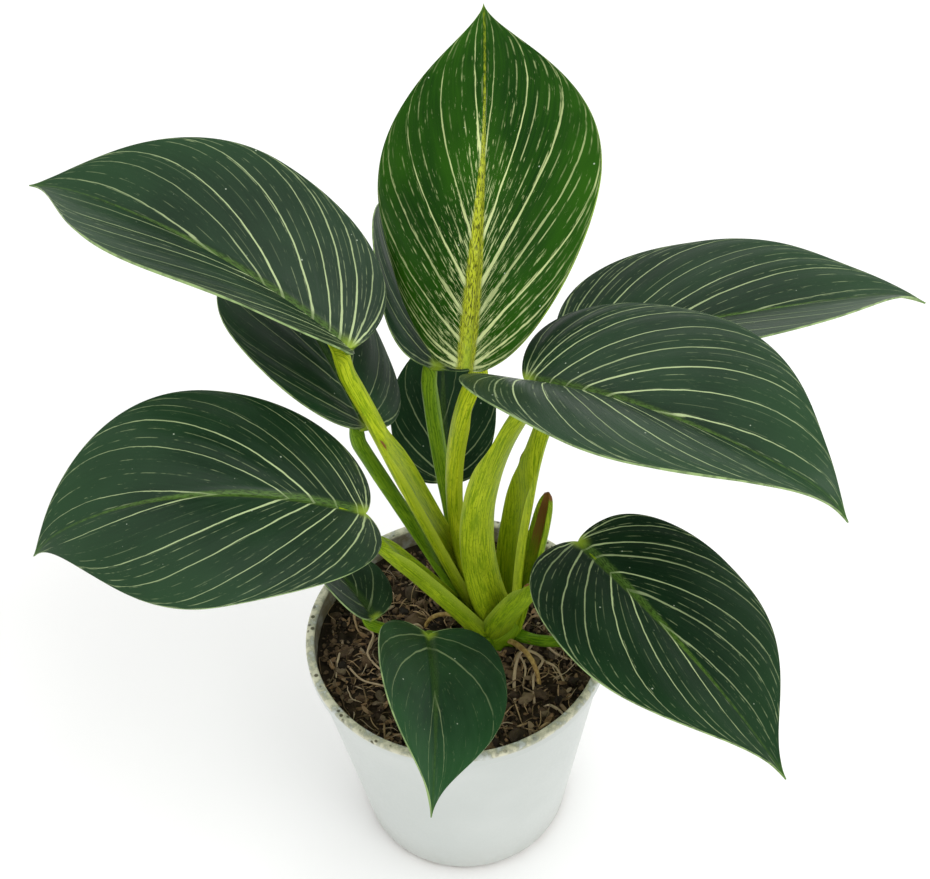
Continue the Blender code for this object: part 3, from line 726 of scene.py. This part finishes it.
def petiole_course(leaf):
    """Control points of the petiole's centreline, from inside the stem to just under the blade's midrib."""
    foot = np.array(leaf.root, float) + (0, 0, RIM_HEIGHT)
    place, ahead, _, up = blade_frame(leaf, 0.0)
    bow = 4 / 3 * np.array(leaf.sag)
    rise = (place - foot) / 3 - bow
    lean = math.sqrt(1 - (rise.dot(up) / np.linalg.norm(rise)) ** 2)
    seat = place + ahead * 1.5 - up * (SEAT + lean * TOP_WIDTH / 2 * petiole_scale(leaf))
    return np.array([foot, foot + (seat - foot) / 3 + bow, foot + (seat - foot) * 2 / 3 + bow, seat])


def petiole_centreline(leaf):
    """The solids' course, rooted a little deeper and running on under the blade into its midrib."""
    course = petiole_course(leaf)
    place, ahead, _, up = blade_frame(leaf, np.array([0.0, TAIL]))
    end = place[1] - up[1] * 1.7
    body = cubic(course, np.linspace(0, 0.93, 80))
    direction = unit(body[-1] - body[-3])
    reach = np.linalg.norm(end - body[-1])
    controls = [body[-1], body[-1] + direction * reach * 0.35, end - ahead[1] * reach * 0.5, end]
    tail = cubic(controls, np.linspace(0, 1, 24)[1:])
    outward = unit(np.array([leaf.base[0] - STEM_X, leaf.base[1] - STEM_Y, 0.0]))
    below = body[0] + np.linspace(1, 0.1, 6)[:, None] * (outward * 2.0 + (0, 0, -9.0))
    line, run = resample(np.vstack([below, body, tail]), PETIOLE_STATIONS)
    return line, run, outward


def petiole_section(width, depth, wing, left_top, right_top):
    """Closed section, outer side first: a rounded back, and a face domed or dished between wings."""
    back = np.linspace(np.pi, 2 * np.pi, 19)
    points = [(width * math.cos(p), depth * math.sin(p)) for p in back]
    inner = width - 0.5 * wing - 0.15
    for share in np.linspace(1, -1, 17):
        r = abs(share)
        top = right_top if share > 0 else left_top
        domed = depth * 0.85 * (1 - r**2.2)
        dished = 0.12 * depth + (top - 0.12 * depth) * r**2.4
        points.append((inner * share, domed + (dished - domed) * wing))
    return np.array(points)


def petiole_sides(leaf, line, run, outward):
    """Sideward and inward directions along the petiole, which turn to lie with the blade near its end."""
    tangent = unit(np.gradient(line, axis=0))
    facing = np.array([0, 0, 0.8]) - outward
    inner = unit(facing - tangent * (facing @ tangent.T)[:, None])
    up = blade_frame(leaf, np.full(len(line), 2.0))[3]
    turn = smooth_step(run, run[-1] - 26, run[-1] - 6)[:, None]
    inner = inner * (1 - turn) + up * turn
    inner = unit(inner - tangent * np.sum(inner * tangent, 1)[:, None])
    return np.cross(tangent, inner), inner


def add_stalk(name, rings, uvs, material):
    """A piece from closed sections in a row, sharp where its skin turns sharply."""
    mesh = make_mesh(name, np.vstack(rings), capped_rings(len(rings), len(rings[0])), uvs)
    mesh.set_sharp_from_angle(angle=math.radians(55))
    add_piece(name, mesh, material, ["stem_and_petioles"])


def build_petiole(leaf, material):
    """A petiole with its sheath: winged and dished below, rounded above, merging into the midrib."""
    line, run, outward = petiole_centreline(leaf)
    side, inner = petiole_sides(leaf, line, run, outward)
    foot_width, winged = leaf.sheath
    size = petiole_scale(leaf)
    total = run[-1] - TAIL
    draw = random.Random(leaf.seed)
    torn_side = draw.choice((-1, 1))
    torn_end = winged + draw.uniform(-0.04, 0.04)
    rings, around, dry_and_shadow, along, wing_highlight = [], [], [], [], []
    for place, reach, s, n in zip(line, run, side, inner):
        share = reach / total
        wing = float(1 - smooth_step(share, winged - 0.16, winged + 0.12))
        broad = foot_width * (1 - 0.25 * share)
        tail = float(smooth_step(reach, run[-1] - 12, run[-1]))
        width = (leaf.neck + (broad - leaf.neck) * wing) / 2 * size * (1 - 0.45 * tail)
        depth = (TOP_DEPTH + (SHEATH_DEPTH_SHARE * broad - TOP_DEPTH) * wing) / 2 * size * (1 - 0.55 * tail)
        flap = float(1 - smooth_step(share, torn_end - 0.10, torn_end + 0.02))
        peak = math.exp(-(((share - torn_end + 0.01) / 0.022) ** 2))
        tops = [depth * (0.62 * flap + 0.75 * peak * (torn_side == k)) for k in (-1, 1)]
        points = petiole_section(width, depth, wing, *tops)
        wiggle = 1 + 0.02 * noise.noise(Vector((reach * 0.08, leaf.seed, 0)))
        rings.append(place + wiggle * (s * points[:, :1] + n * points[:, 1:]))
        around.append(run_along(points) / 10)
        aside = points[:, 0] / max(width, 0.1)
        face = points[:, 1] > 0.2
        dry_and_shadow.append(np.clip((aside * torn_side - 0.70) * 5, 0, 1) * face * peak)
        # painted highlight: a pale line along the wing edges, where the wings are whole
        wing_highlight.append(np.exp(-(((np.abs(aside) - 0.94) / 0.06) ** 2)) * face * flap)
        along.append(np.full(len(points), reach / 10))
    tone = np.full(len(rings) * len(rings[0]), leaf.tone)
    uvs = {
        "grain": np.stack([np.concatenate(around) + leaf.seed, np.concatenate(along)], 1),
        "tone": np.stack([tone, np.concatenate(dry_and_shadow)], 1),
        "wing_highlight": np.stack([np.concatenate(wing_highlight), 0 * tone], 1),
    }
    add_stalk(f"petiole_{leaf.name}", rings, uvs, material)


def petiole_material():
    """Yellow-green stalk, finely streaked lengthwise, browned where a sheath's tip has dried and inside the
    old sheath's hollow (partly dried, partly painted shadow), with a painted highlight along the wing edges
    and painted shade towards the foot.
    """
    g = Graph("petiole_skin")
    grain = g.uv("grain")
    tone, dry_and_shadow = g.uv("tone")
    wing_highlight = g.uv("wing_highlight")[0]
    streak = g.streaks(grain, (20.0, 0.7), 0.0, 3.0, 0.75)
    dash = g.streaks(grain, (26.0, 5.0), 0.0, 2.0, 0.55)
    cloud = g.streaks(grain, (1.0, 0.6))
    green = g.mix(tone, (0.040, 0.130, 0.003), (0.215, 0.330, 0.003))
    yellow = g.mix(tone, (0.120, 0.270, 0.008), (0.540, 0.610, 0.020))
    shade = g.mix(tone, (0.02, 0.08, 0.001), (0.12, 0.21, 0.002))
    # pale: colour of the painted highlight along the wing edges
    pale = g.mix(tone, (0.30, 0.42, 0.06), (0.56, 0.64, 0.07))
    brown = g.mix(cloud, (0.12, 0.035, 0.010), (0.26, 0.13, 0.04))
    colour = g.mix(g.step(streak, 0.40, 0.57), green, yellow)
    colour = g.mix(g.step(cloud, 0.35, 0.7, 0.0, 0.4), colour, green)
    colour = g.mix(g.step(dash, 0.57, 0.66, 0.0, 0.62), colour, shade)
    # painted highlight: pale colour laid along the sheath's wing edges
    colour = g.mix(g.times(wing_highlight, 0.7), colour, pale)
    # painted shade: darker green over the lowest stretch of each petiole and the lower crown
    colour = g.mix(g.step(grain[1], 1.9, 0.9, 0.0, 0.75), colour, FOOT_SHADE_COLOUR)
    # brown where a sheath's tip has dried, and in the old sheath's hollow, where it is partly painted shadow
    dry_and_shadow_share = g.step(g.plus(dry_and_shadow, g.times(g.minus(streak, 0.5), 0.5)), 0.40, 0.70)
    colour = g.mix(dry_and_shadow_share, colour, brown)
    g.bump(g.plus(streak, g.times(dash, 0.3)), 0.3 * MM, 0.45)
    return g.finish(colour, g.step(streak, 0.3, 0.7, 0.40, 0.54), 0.10)


def build_crown(material):
    """The short stem at the middle of the sheaths, wrinkled and scarred where old leaves were shed."""
    rows, columns = 26, 56
    points, grain = [], []
    for share in np.linspace(0, 1, rows):
        z = SOIL_LEVEL - 4 + 20 * share
        radius = (STEM_RADIUS - 1.6) * math.sqrt(max(1 - max(share - 0.35, 0) ** 2 * 2.2, 0.02))
        for j in range(columns):
            angle = math.tau * j / columns
            wrinkle = 0.2 * math.sin(share * 17 + math.sin(angle) * 1.5)
            lump = noise.noise(Vector((math.cos(angle) * 2, math.sin(angle) * 2, z * 0.12)))
            r = radius + wrinkle + lump
            points.append((STEM_X + r * math.cos(angle), STEM_Y + r * math.sin(angle), z))
            # along runs from 1 to 2 up the crown, so its lower part takes the painted shade of the feet
            grain.append((angle * radius / 10, 1.0 + share))
    uvs = {"grain": grain, "tone": np.full((len(points), 2), (0.35, 0.0)), "wing_highlight": np.zeros((len(points), 2))}
    mesh = make_mesh("crown", points, capped_rings(rows, columns), uvs)
    add_piece("crown", mesh, material, ["stem_and_petioles"])


def build_old_sheath(material):
    """The boat-shaped sheath left where an old leaf was shed, browned inside: partly dried tissue, partly
    painted shadow in its hollow.
    """
    foot = np.array((21.0, 4.5, RIM_HEIGHT - 6))
    top = np.array((37.0, 13.0, RIM_HEIGHT + 63))
    tangent = unit(top - foot)
    side = unit(np.cross(tangent, (-0.7, -0.5, 0.3)))
    inner = np.cross(side, tangent)
    rings, grain, tone = [], [], []
    for share in np.linspace(0, 1, 44):
        half = 5.4 * (1 - 0.3 * share) * math.sqrt(max(1 - share**14, 0.012))
        section = petiole_section(half, half * 0.62, min(share * 3, 1.0), half * 0.5, half * 0.4)
        columns = len(section)
        centre = foot + (top - foot) * share + inner * (-1.5 * math.sin(math.pi * share))
        rings.append(centre + side * section[:, :1] + inner * section[:, 1:])
        inside = (np.arange(columns) > 21) & (np.arange(columns) < 33)
        grain.append(np.stack([run_along(section) / 10, np.full(columns, 2 + share * 7)], 1))
        # the hollow's inner face is browned: partly dried tissue, partly painted shadow
        dry_and_shadow = np.where(inside, 0.3 + 0.45 * smooth_step(share, 0.2, 1.0), smooth_step(share, 0.90, 1.02))
        tone.append(np.stack([np.full(columns, 0.45), dry_and_shadow], 1))
    uvs = {"grain": np.vstack(grain), "tone": np.vstack(tone), "wing_highlight": np.zeros((len(rings) * columns, 2))}
    add_stalk("old_sheath", rings, uvs, material)


# Tubes, for roots and fibres

def tube(line, radii, sides):
    """Points and faces of a tube along a line, closed at both ends by small caps."""
    tangent = unit(np.gradient(line, axis=0))
    aside = unit(np.cross(tangent, (0.31, 0.22, 0.93)))
    upward = np.cross(aside, tangent)
    angles = np.linspace(0, math.tau, sides, endpoint=False)
    around = np.cos(angles)[None, :, None] * aside[:, None] + np.sin(angles)[None, :, None] * upward[:, None]
    points = (line[:, None] + around * np.asarray(radii)[:, None, None]).reshape(-1, 3)
    return points, capped_rings(len(line), sides)


def smooth_line(points, count):
    """A smooth line through a few points, by splines between each and the next."""
    p = np.asarray(points, float)
    ends = np.vstack([2 * p[0] - p[1], p, 2 * p[-1] - p[-2]])
    slopes = (ends[2:] - ends[:-2]) / 2
    line = []
    for i in range(len(p) - 1):
        controls = [p[i], p[i] + slopes[i] / 3, p[i + 1] - slopes[i + 1] / 3, p[i + 1]]
        line.append(cubic(controls, np.linspace(0, 1, count // (len(p) - 1) + 2))[:-1])
    return np.vstack([*line, p[-1:]])


class Heap:
    """Gathers many small shapes into one mesh, each with its own tone."""

    def __init__(self):
        self.points, self.faces, self.tones, self.size = [], [], [], 0

    def add(self, points, faces, tone, spread):
        self.points.append(np.asarray(points, float))
        self.faces += [[index + self.size for index in face] for face in faces]
        self.tones.append(np.full((len(points), 2), (tone, spread)))
        self.size += len(points)

    def mesh(self, name, smooth):
        uvs = {"tone": np.vstack(self.tones)}
        return make_mesh(name, np.vstack(self.points), self.faces, uvs, smooth=smooth)


def soil_height(x, y):
    """Height of the potting mix, which is heaped a little round the stem and lumpy all over."""
    edge = math.hypot(x, y) / (RIM_RADIUS - RIM_WIDTH)
    heap = SOIL_CROWN * max(0.0, 1 - math.hypot(x - STEM_X, y - STEM_Y) / 30.0)
    broad = noise.noise(Vector((x * 0.11, y * 0.11, 3.1)))
    fine = noise.noise(Vector((x * 0.27, y * 0.27, 8.4)))
    return SOIL_LEVEL + heap + SOIL_RELIEF * (broad + 0.5 * fine) * (1 - 0.6 * edge**4)


def wall_radius(z):
    """The pot's outer wall radius at a height."""
    share = (z - BASE_CORNER) / (RIM_HEIGHT - RIM_DEPTH - BASE_CORNER)
    return BASE_RADIUS + (WALL_TOP_RADIUS - BASE_RADIUS) * share


def soil_reach(margin):
    """Radius on the mix that stays this far inside the pot's wall."""
    return wall_radius(SOIL_LEVEL) - WALL - margin


def build_soil_bed(material):
    """The body of the mix: a crumbly upper surface over plain sides and a flat underside."""
    rings, columns = 62, 190
    wall = soil_reach(0.15)
    points = []
    for share in np.linspace(0, 1, rings):
        for x, y, _ in ring(wall * (0.004 + 0.996 * share), 0, columns):
            rough = noise.turbulence(Vector((x * 0.35, y * 0.35, 1.7)), 3, False) - 0.7
            points.append((x, y, soil_height(x, y) + 1.5 * rough * (share < 1) - 0.5))
    foot = FLOOR + GROOVE_DEPTH + 0.3
    side, base = wall_radius(foot + 4) - WALL - 0.3, wall_radius(foot) - WALL - 3
    lower = ((side, foot + 4), (base, foot), (0.2, foot))
    points = np.vstack([points, *[ring(radius, z, columns) for radius, z in lower]])
    faces = [face[::-1] for face in capped_rings(rings + len(lower), columns)]
    mesh = make_mesh("soil_bed", points, faces, {"tone": np.full((len(points), 2), (0.3, 0.5))})
    add_piece("soil_bed", mesh, material, ["potting_mix"])


def scatter_place(draw, limit):
    """A random place on the mix, clear of the stem."""
    while True:
        angle, radius = draw.uniform(0, math.tau), limit * math.sqrt(draw.uniform(0, 1))
        x, y = radius * math.cos(angle), radius * math.sin(angle)
        if math.hypot(x - STEM_X, y - STEM_Y) > STEM_RADIUS - 1:
            return x, y


def build_crumbs(material):
    """Peat: jagged crumbs all over the mix, with larger matted clumps among them."""
    draw = random.Random(SOIL_SEED)
    heap = Heap()
    for count, subdivisions, low, high in ((CRUMB_COUNT, 1, 0.35, 1.5), (CLUMP_COUNT, 2, 1.6, 3.6)):
        bm = bmesh.new()
        bmesh.ops.create_icosphere(bm, subdivisions=subdivisions, radius=1.0)
        shape = np.array([v.co for v in bm.verts])
        faces = [[v.index for v in f.verts] for f in bm.faces]
        bm.free()
        for _ in range(count):
            x, y = scatter_place(draw, soil_reach(high))
            size = low + (high - low) * draw.random() ** 2.2
            jag = np.array([draw.uniform(0.65, 1.2) for _ in shape])[:, None]
            angle = draw.uniform(0, math.tau)
            axis = Vector((draw.random(), draw.random(), 1)).normalized()
            scale = (draw.uniform(0.8, 1.5), draw.uniform(0.7, 1.1), draw.uniform(0.4, 0.7))
            points = (shape * jag * size * scale) @ np.array(Matrix.Rotation(angle, 3, axis)).T
            place = (x, y, soil_height(x, y) - 0.1 + size * 0.2)
            heap.add(points + place, faces, draw.random(), draw.random())
    add_piece("soil_crumbs", heap.mesh("soil_crumbs", False), material)


def build_chips(material):
    """Bark and wood chips: flat splinters, half sunk at all angles."""
    draw = random.Random(SOIL_SEED + 1)
    heap = Heap()
    corners = 7
    outline = np.linspace(0, math.tau, corners, endpoint=False)
    faces = [face[::-1] for face in capped_rings(2, corners)]
    for _ in range(CHIP_COUNT):
        x, y = scatter_place(draw, soil_reach(4.5))
        length = draw.uniform(1.4, 5.5)
        width = length * draw.uniform(0.22, 0.5)
        thick = draw.uniform(0.25, 0.8)
        jag = np.array([draw.uniform(0.7, 1.2) for _ in outline])
        top = np.stack([length * jag * np.cos(outline), width * jag * np.sin(outline), thick + 0 * jag], 1)
        turn = Matrix.Rotation(draw.uniform(0, math.tau), 3, "Z")
        turn = turn @ Matrix.Rotation(draw.uniform(-0.7, 0.7), 3, "X")
        turn = turn @ Matrix.Rotation(draw.uniform(-0.45, 0.45), 3, "Y")
        points = np.vstack([top, top * (0.92, 0.9, -1)]) * 0.5 @ np.array(turn).T
        heap.add(points + (x, y, soil_height(x, y) + 0.5), faces, draw.random(), draw.random())
    add_piece("bark_chips", heap.mesh("bark_chips", False), material)


def fibre_line(draw, x, y, length, stiff):
    """A curly line that wanders over the mix, rising and dipping through it."""
    steps = 14
    heading = draw.uniform(0, math.tau)
    bend = draw.uniform(-1, 1) * (0.22 - 0.16 * stiff)
    lift = draw.uniform(0.3, 2.2)
    phase = draw.uniform(0, math.tau)
    limit = soil_reach(1.0)
    line = []
    for i in range(steps):
        share = i / (steps - 1)
        heading += bend + draw.uniform(-0.35, 0.35) * (1 - stiff)
        x += math.cos(heading) * length / steps
        y += math.sin(heading) * length / steps
        reach = math.hypot(x, y)
        if reach > limit:
            x, y = x * limit / reach, y * limit / reach
        arch = lift * math.sin(math.pi * share) + 0.5 * math.sin(phase + share * 6)
        line.append((x, y, soil_height(x, y) + 0.2 + max(arch, -0.4)))
    return np.array(line)


def build_fibres(material):
    """Coir and root fibres, fine and curled, with some stouter pale ones."""
    draw = random.Random(SOIL_SEED + 2)
    heap = Heap()
    for index in range(FIBRE_COUNT):
        x, y = scatter_place(draw, soil_reach(5))
        stout = index % 12 == 0
        length = draw.uniform(6, 15) if stout else draw.uniform(4, 15)
        girth = draw.uniform(0.35, 0.6) if stout else draw.uniform(0.10, 0.26)
        line = fibre_line(draw, x, y, length, 0.65 if stout else draw.uniform(0, 0.8))
        taper = np.sin(np.linspace(0.35, math.pi - 0.3, len(line))) * girth + 0.04
        tone = draw.uniform(0.55, 1.0) if stout else draw.random()
        heap.add(*tube(line, taper, 5), tone, draw.random())
    for index, (controls, girth) in enumerate(SURFACE_ROOTS):
        line = smooth_line([(x, y, soil_height(x, y) + lift) for x, y, lift in controls], 26)
        radii = girth * (1 - 0.35 * np.linspace(0, 1, len(line))) * (1 + 0.18 * noise_at(line, 0.6, index))
        heap.add(*tube(line, radii, 9), 0.8 + 0.03 * index, 0.9)
    add_piece("coir_fibres", heap.mesh("coir_fibres", True), material)


def soil_material(name, dark, light, dusty):
    """Dark mix: each crumb, chip or fibre takes its own tone between a dark and a light brown."""
    g = Graph(name)
    tone, spread = g.uv("tone")
    where = g.place()
    grain = g.noise(where, 420.0, 5.0, 0.7)
    blotch = g.noise(where, 75.0, 3.0, 0.6)
    colour = g.mix(g.step(g.plus(g.times(tone, 0.6), g.times(blotch, 0.6)), 0.35, 0.85), dark, light)
    colour = g.mix(g.step(grain, 0.45, 0.75, 0.0, 0.6), colour, dark)
    colour = g.mix(g.step(spread, 0.8, 0.95, 0.0, 0.6), colour, dusty)
    g.bump(grain, 0.6 * MM, 0.7)
    return g.finish(colour, g.step(grain, 0.3, 0.7, 0.75, 0.95), 0.25)


def build_roots():
    """Aerial roots: pale tubes that leave the crown and dive for the mix."""
    g = Graph("root_skin")
    grain = g.noise(g.place(), 500.0, 4.0, 0.6)
    colour = g.mix(g.step(grain, 0.35, 0.7), (0.22, 0.13, 0.035), (0.46, 0.33, 0.10))
    g.bump(grain, 0.3 * MM, 0.5)
    material = g.finish(colour, g.step(grain, 0.3, 0.7, 0.55, 0.75), 0.35)
    for index, (controls, end, girth) in enumerate(AERIAL_ROOTS):
        foot = (*end, soil_height(*end) - 0.5)
        high = [(x, y, SOIL_LEVEL + lift) for x, y, lift in controls]
        line = cubic([*high, foot], np.linspace(0, 1, 40))
        radii = girth * (1 - 0.3 * np.linspace(0, 1, 40)) * (1 + 0.08 * noise_at(line, 0.5, index))
        name = f"aerial_root_{index + 1}"
        mesh = make_mesh(name, *tube(line, radii, 14), {})
        add_piece(name, mesh, material, ["stem_and_petioles"])


# The pot

def arc(centre, radius, start, end, steps):
    """Points of an arc in the profile plane, from one angle to the other."""
    angles = [math.radians(start + (end - start) * i / steps) for i in range(steps + 1)]
    return [(centre[0] + radius * math.cos(a), centre[1] + radius * math.sin(a)) for a in angles]


def pot_profile():
    """From the floor's middle up the inner wall, over the rolled rim and down the outside."""
    step_z = RIM_HEIGHT - RIM_DEPTH
    corner = BASE_CORNER / 2
    corner_place = (wall_radius(BASE_CORNER) - WALL - corner, FLOOR + GROOVE_DEPTH + corner)
    heights = np.linspace(FLOOR + GROOVE_DEPTH + 4, step_z, 14)
    inside = [
        (0.01, FLOOR),
        (GROOVE_INNER, FLOOR),
        (GROOVE_INNER + GROOVE_DEPTH, FLOOR + GROOVE_DEPTH),
        (GROOVE_OUTER, FLOOR + GROOVE_DEPTH),
        *arc(corner_place, corner, -90, 0, 5),
        *[(wall_radius(z) - WALL, z) for z in heights[1:]],
        (RIM_RADIUS - RIM_WIDTH, RIM_HEIGHT - 1.2),
    ]
    rim = [
        *arc((RIM_RADIUS - RIM_WIDTH + 1.0, RIM_HEIGHT - 1.0), 1.0, 180, 90, 5),
        *arc((RIM_RADIUS - 1.1, RIM_HEIGHT - 1.1), 1.1, 90, 0, 6),
        (RIM_RADIUS - 0.05, step_z + 1.2),
        *arc((RIM_RADIUS - 0.65, step_z + 0.8), 0.6, 0, -80, 4),
        (wall_radius(step_z) + 0.25, step_z + 0.1),
        (wall_radius(step_z - 0.5), step_z - 0.5),
    ]
    outside = [
        *[(wall_radius(z), z) for z in np.linspace(step_z - 1, BASE_CORNER + 1, 18)],
        *arc((BASE_RADIUS - BASE_CORNER, BASE_CORNER), BASE_CORNER, 0, -90, 8),
        (GROOVE_OUTER, 0),
        (GROOVE_OUTER - GROOVE_DEPTH, GROOVE_DEPTH),
        (GROOVE_INNER + 2 * GROOVE_DEPTH, GROOVE_DEPTH),
        (GROOVE_INNER + GROOVE_DEPTH, 0),
        (0.01, 0),
    ]
    return inside + rim + outside


def build_pot():
    """The thin pot, turned, with its drainage holes cut through the groove."""
    profile = pot_profile()
    points = np.vstack([ring(radius, z, POT_SEGMENTS) for radius, z in profile])
    faces = [face[::-1] for face in capped_rings(len(profile), POT_SEGMENTS)]
    pot = bpy.data.objects.new("pot_blank", make_mesh("nursery_pot", points, faces, {}))
    bpy.context.scene.collection.objects.link(pot)
    cutter = drain_cutter()
    modifier = pot.modifiers.new("drains", "BOOLEAN")
    modifier.object = cutter
    bpy.context.view_layer.update()
    cut = bpy.data.meshes.new_from_object(pot.evaluated_get(bpy.context.evaluated_depsgraph_get()))
    for spare in (pot, cutter):
        bpy.data.objects.remove(spare)
    cut.shade_smooth()
    cut.set_sharp_from_angle(angle=math.radians(42))
    cut.materials.clear()
    add_piece("nursery_pot", cut, pot_material(), ["pot"])


def drain_cutter():
    """Round pins on a ring, for the drainage holes."""
    bm = bmesh.new()
    middle = (GROOVE_INNER + GROOVE_OUTER + GROOVE_DEPTH) / 2
    radius = DRAIN_RADIUS * MM
    for i in range(DRAIN_COUNT):
        angle = math.tau * (i + 0.5) / DRAIN_COUNT
        place = Matrix.Translation((middle * math.cos(angle) * MM, middle * math.sin(angle) * MM, 0))
        bmesh.ops.create_cone(bm, cap_ends=True, segments=32, radius1=radius, radius2=radius,
                              depth=DRAIN_PIN_LENGTH * MM, matrix=place)
    mesh = bpy.data.meshes.new("drain_pins")
    bm.to_mesh(mesh)
    bm.free()
    cutter = bpy.data.objects.new("drain_pins", mesh)
    bpy.context.scene.collection.objects.link(cutter)
    return cutter


def pot_material():
    """Cool white plastic, with a beige mineral crust and dark specks on the rim."""
    g = Graph("pot_plastic")
    where = g.place()
    x, y, z = g.split(where)
    cloud = g.noise(where, 18.0, 3.0, 0.5)
    fine = g.noise(where, 700.0, 3.0, 0.5)
    crust_noise = g.noise(where, 210.0, 4.0, 0.65)
    colour = g.mix(g.step(cloud, 0.35, 0.7), (0.505, 0.538, 0.515), (0.55, 0.580, 0.557))
    low_edge = (RIM_HEIGHT - 2.4) * MM
    crust = g.times(g.step(z, low_edge, low_edge + 1.3 * MM), g.step(crust_noise, 0.34, 0.54))
    crust_colour = g.mix(g.step(crust_noise, 0.40, 0.62), (0.20, 0.21, 0.08), (0.66, 0.64, 0.47))
    colour = g.mix(g.times(crust, 0.85), colour, crust_colour)
    specks = g.times(
        g.step(z, low_edge, low_edge + 1.6 * MM),
        g.step(g.cells(where, 330.0), 0.34, 0.20),
        g.step(g.noise(where, 95.0, 2.0), 0.40, 0.55, 0.0, 0.9),
    )
    colour = g.mix(specks, colour, (0.045, 0.040, 0.012))
    radius = g.calc("POWER", g.plus(g.times(x, x), g.times(y, y)), 0.5)
    slope = (WALL_TOP_RADIUS - BASE_RADIUS) / (RIM_HEIGHT - RIM_DEPTH)
    inner_limit = g.plus(g.times(z, slope), (BASE_RADIUS - 0.9) * MM)
    stain = g.times(
        g.step(g.minus(radius, inner_limit), 0.4 * MM, -0.4 * MM),
        g.step(z, low_edge + 1.6 * MM, low_edge),
        g.step(crust_noise, 0.25, 0.6, 0.35, 0.95),
    )
    colour = g.mix(stain, colour, (0.17, 0.14, 0.075))
    height = g.plus(g.times(crust, crust_noise, 2.0), g.times(fine, 0.12))
    g.bump(height, 0.4 * MM, 0.5)
    rough = g.plus(g.step(fine, 0.3, 0.7, 0.30, 0.38), g.times(crust, 0.45))
    return g.finish(colour, rough, 0.5)


# The stage, the light and the camera

def build_floor():
    """A plain pale floor, far wider than the view."""
    mesh = bpy.data.meshes.new("floor")
    bm = bmesh.new()
    bmesh.ops.create_grid(bm, x_segments=1, y_segments=1, size=4.0)
    bm.to_mesh(mesh)
    bm.free()
    floor = bpy.data.objects.new("floor", mesh)
    bpy.context.scene.collection.objects.link(floor)
    g = Graph("floor_paper")
    colour = g.mix(g.noise(g.place(), 3.0, 2.0), (0.93, 0.93, 0.93), (0.94, 0.94, 0.94))
    floor.data.materials.append(g.finish(colour, 0.8, 0.1))


def light_scene():
    """A bright, even room of light and one large soft lamp in front, up to the right."""
    world = bpy.data.worlds.new("studio")
    world.use_nodes = True
    background = world.node_tree.nodes["Background"]
    background.inputs["Color"].default_value = (1.0, 1.0, 0.99, 1.0)
    background.inputs["Strength"].default_value = 1.08
    bpy.context.scene.world = world
    light = bpy.data.lights.new("key", "AREA")
    light.shape = "DISK"
    light.size = KEY_SIZE
    light.energy = KEY_POWER
    lamp = bpy.data.objects.new("key", light)
    lamp.location = KEY_PLACE
    lamp.rotation_euler = (KEY_TARGET - KEY_PLACE).to_track_quat("-Z", "Y").to_euler()
    bpy.context.scene.collection.objects.link(lamp)
    bpy.context.scene.view_settings.view_transform = "Standard"


def add_camera():
    """The camera at the photograph's angle, turned about its own axis by its roll."""
    tilt = math.radians(CAMERA_ELEVATION)
    back = Vector((0, -math.cos(tilt), math.sin(tilt)))
    right = Vector((1, 0, 0))
    up = back.cross(right)
    roll = math.radians(CAMERA_ROLL)
    across = right * math.cos(roll) + up * math.sin(roll)
    upward = up * math.cos(roll) - right * math.sin(roll)
    camera = bpy.data.cameras.new("camera")
    camera.sensor_fit = "HORIZONTAL"
    camera.sensor_width = 36.0
    camera.lens = CAMERA_LENS
    camera.clip_start = 0.01
    holder = bpy.data.objects.new("camera", camera)
    turn = Matrix((across, upward, back)).transposed().to_4x4()
    holder.matrix_world = Matrix.Translation((CAMERA_TARGET + back * CAMERA_DISTANCE) * MM) @ turn
    bpy.context.scene.collection.objects.link(holder)
    bpy.context.scene.camera = holder


def main():
    skin = petiole_material()
    for leaf in LEAVES:
        build_leaf(leaf)
        build_petiole(leaf, skin)
    build_crown(skin)
    build_old_sheath(skin)
    build_roots()
    build_pot()
    peat = soil_material("peat", (0.015, 0.011, 0.006), (0.140, 0.092, 0.050), (0.23, 0.175, 0.105))
    bark = soil_material("bark", (0.034, 0.022, 0.011), (0.27, 0.170, 0.085), (0.42, 0.33, 0.21))
    coir = soil_material("coir", (0.085, 0.056, 0.028), (0.42, 0.295, 0.155), (0.56, 0.47, 0.32))
    build_soil_bed(peat)
    build_crumbs(peat)
    build_chips(bark)
    build_fibres(coir)
    build_floor()
    light_scene()
    add_camera()


main()
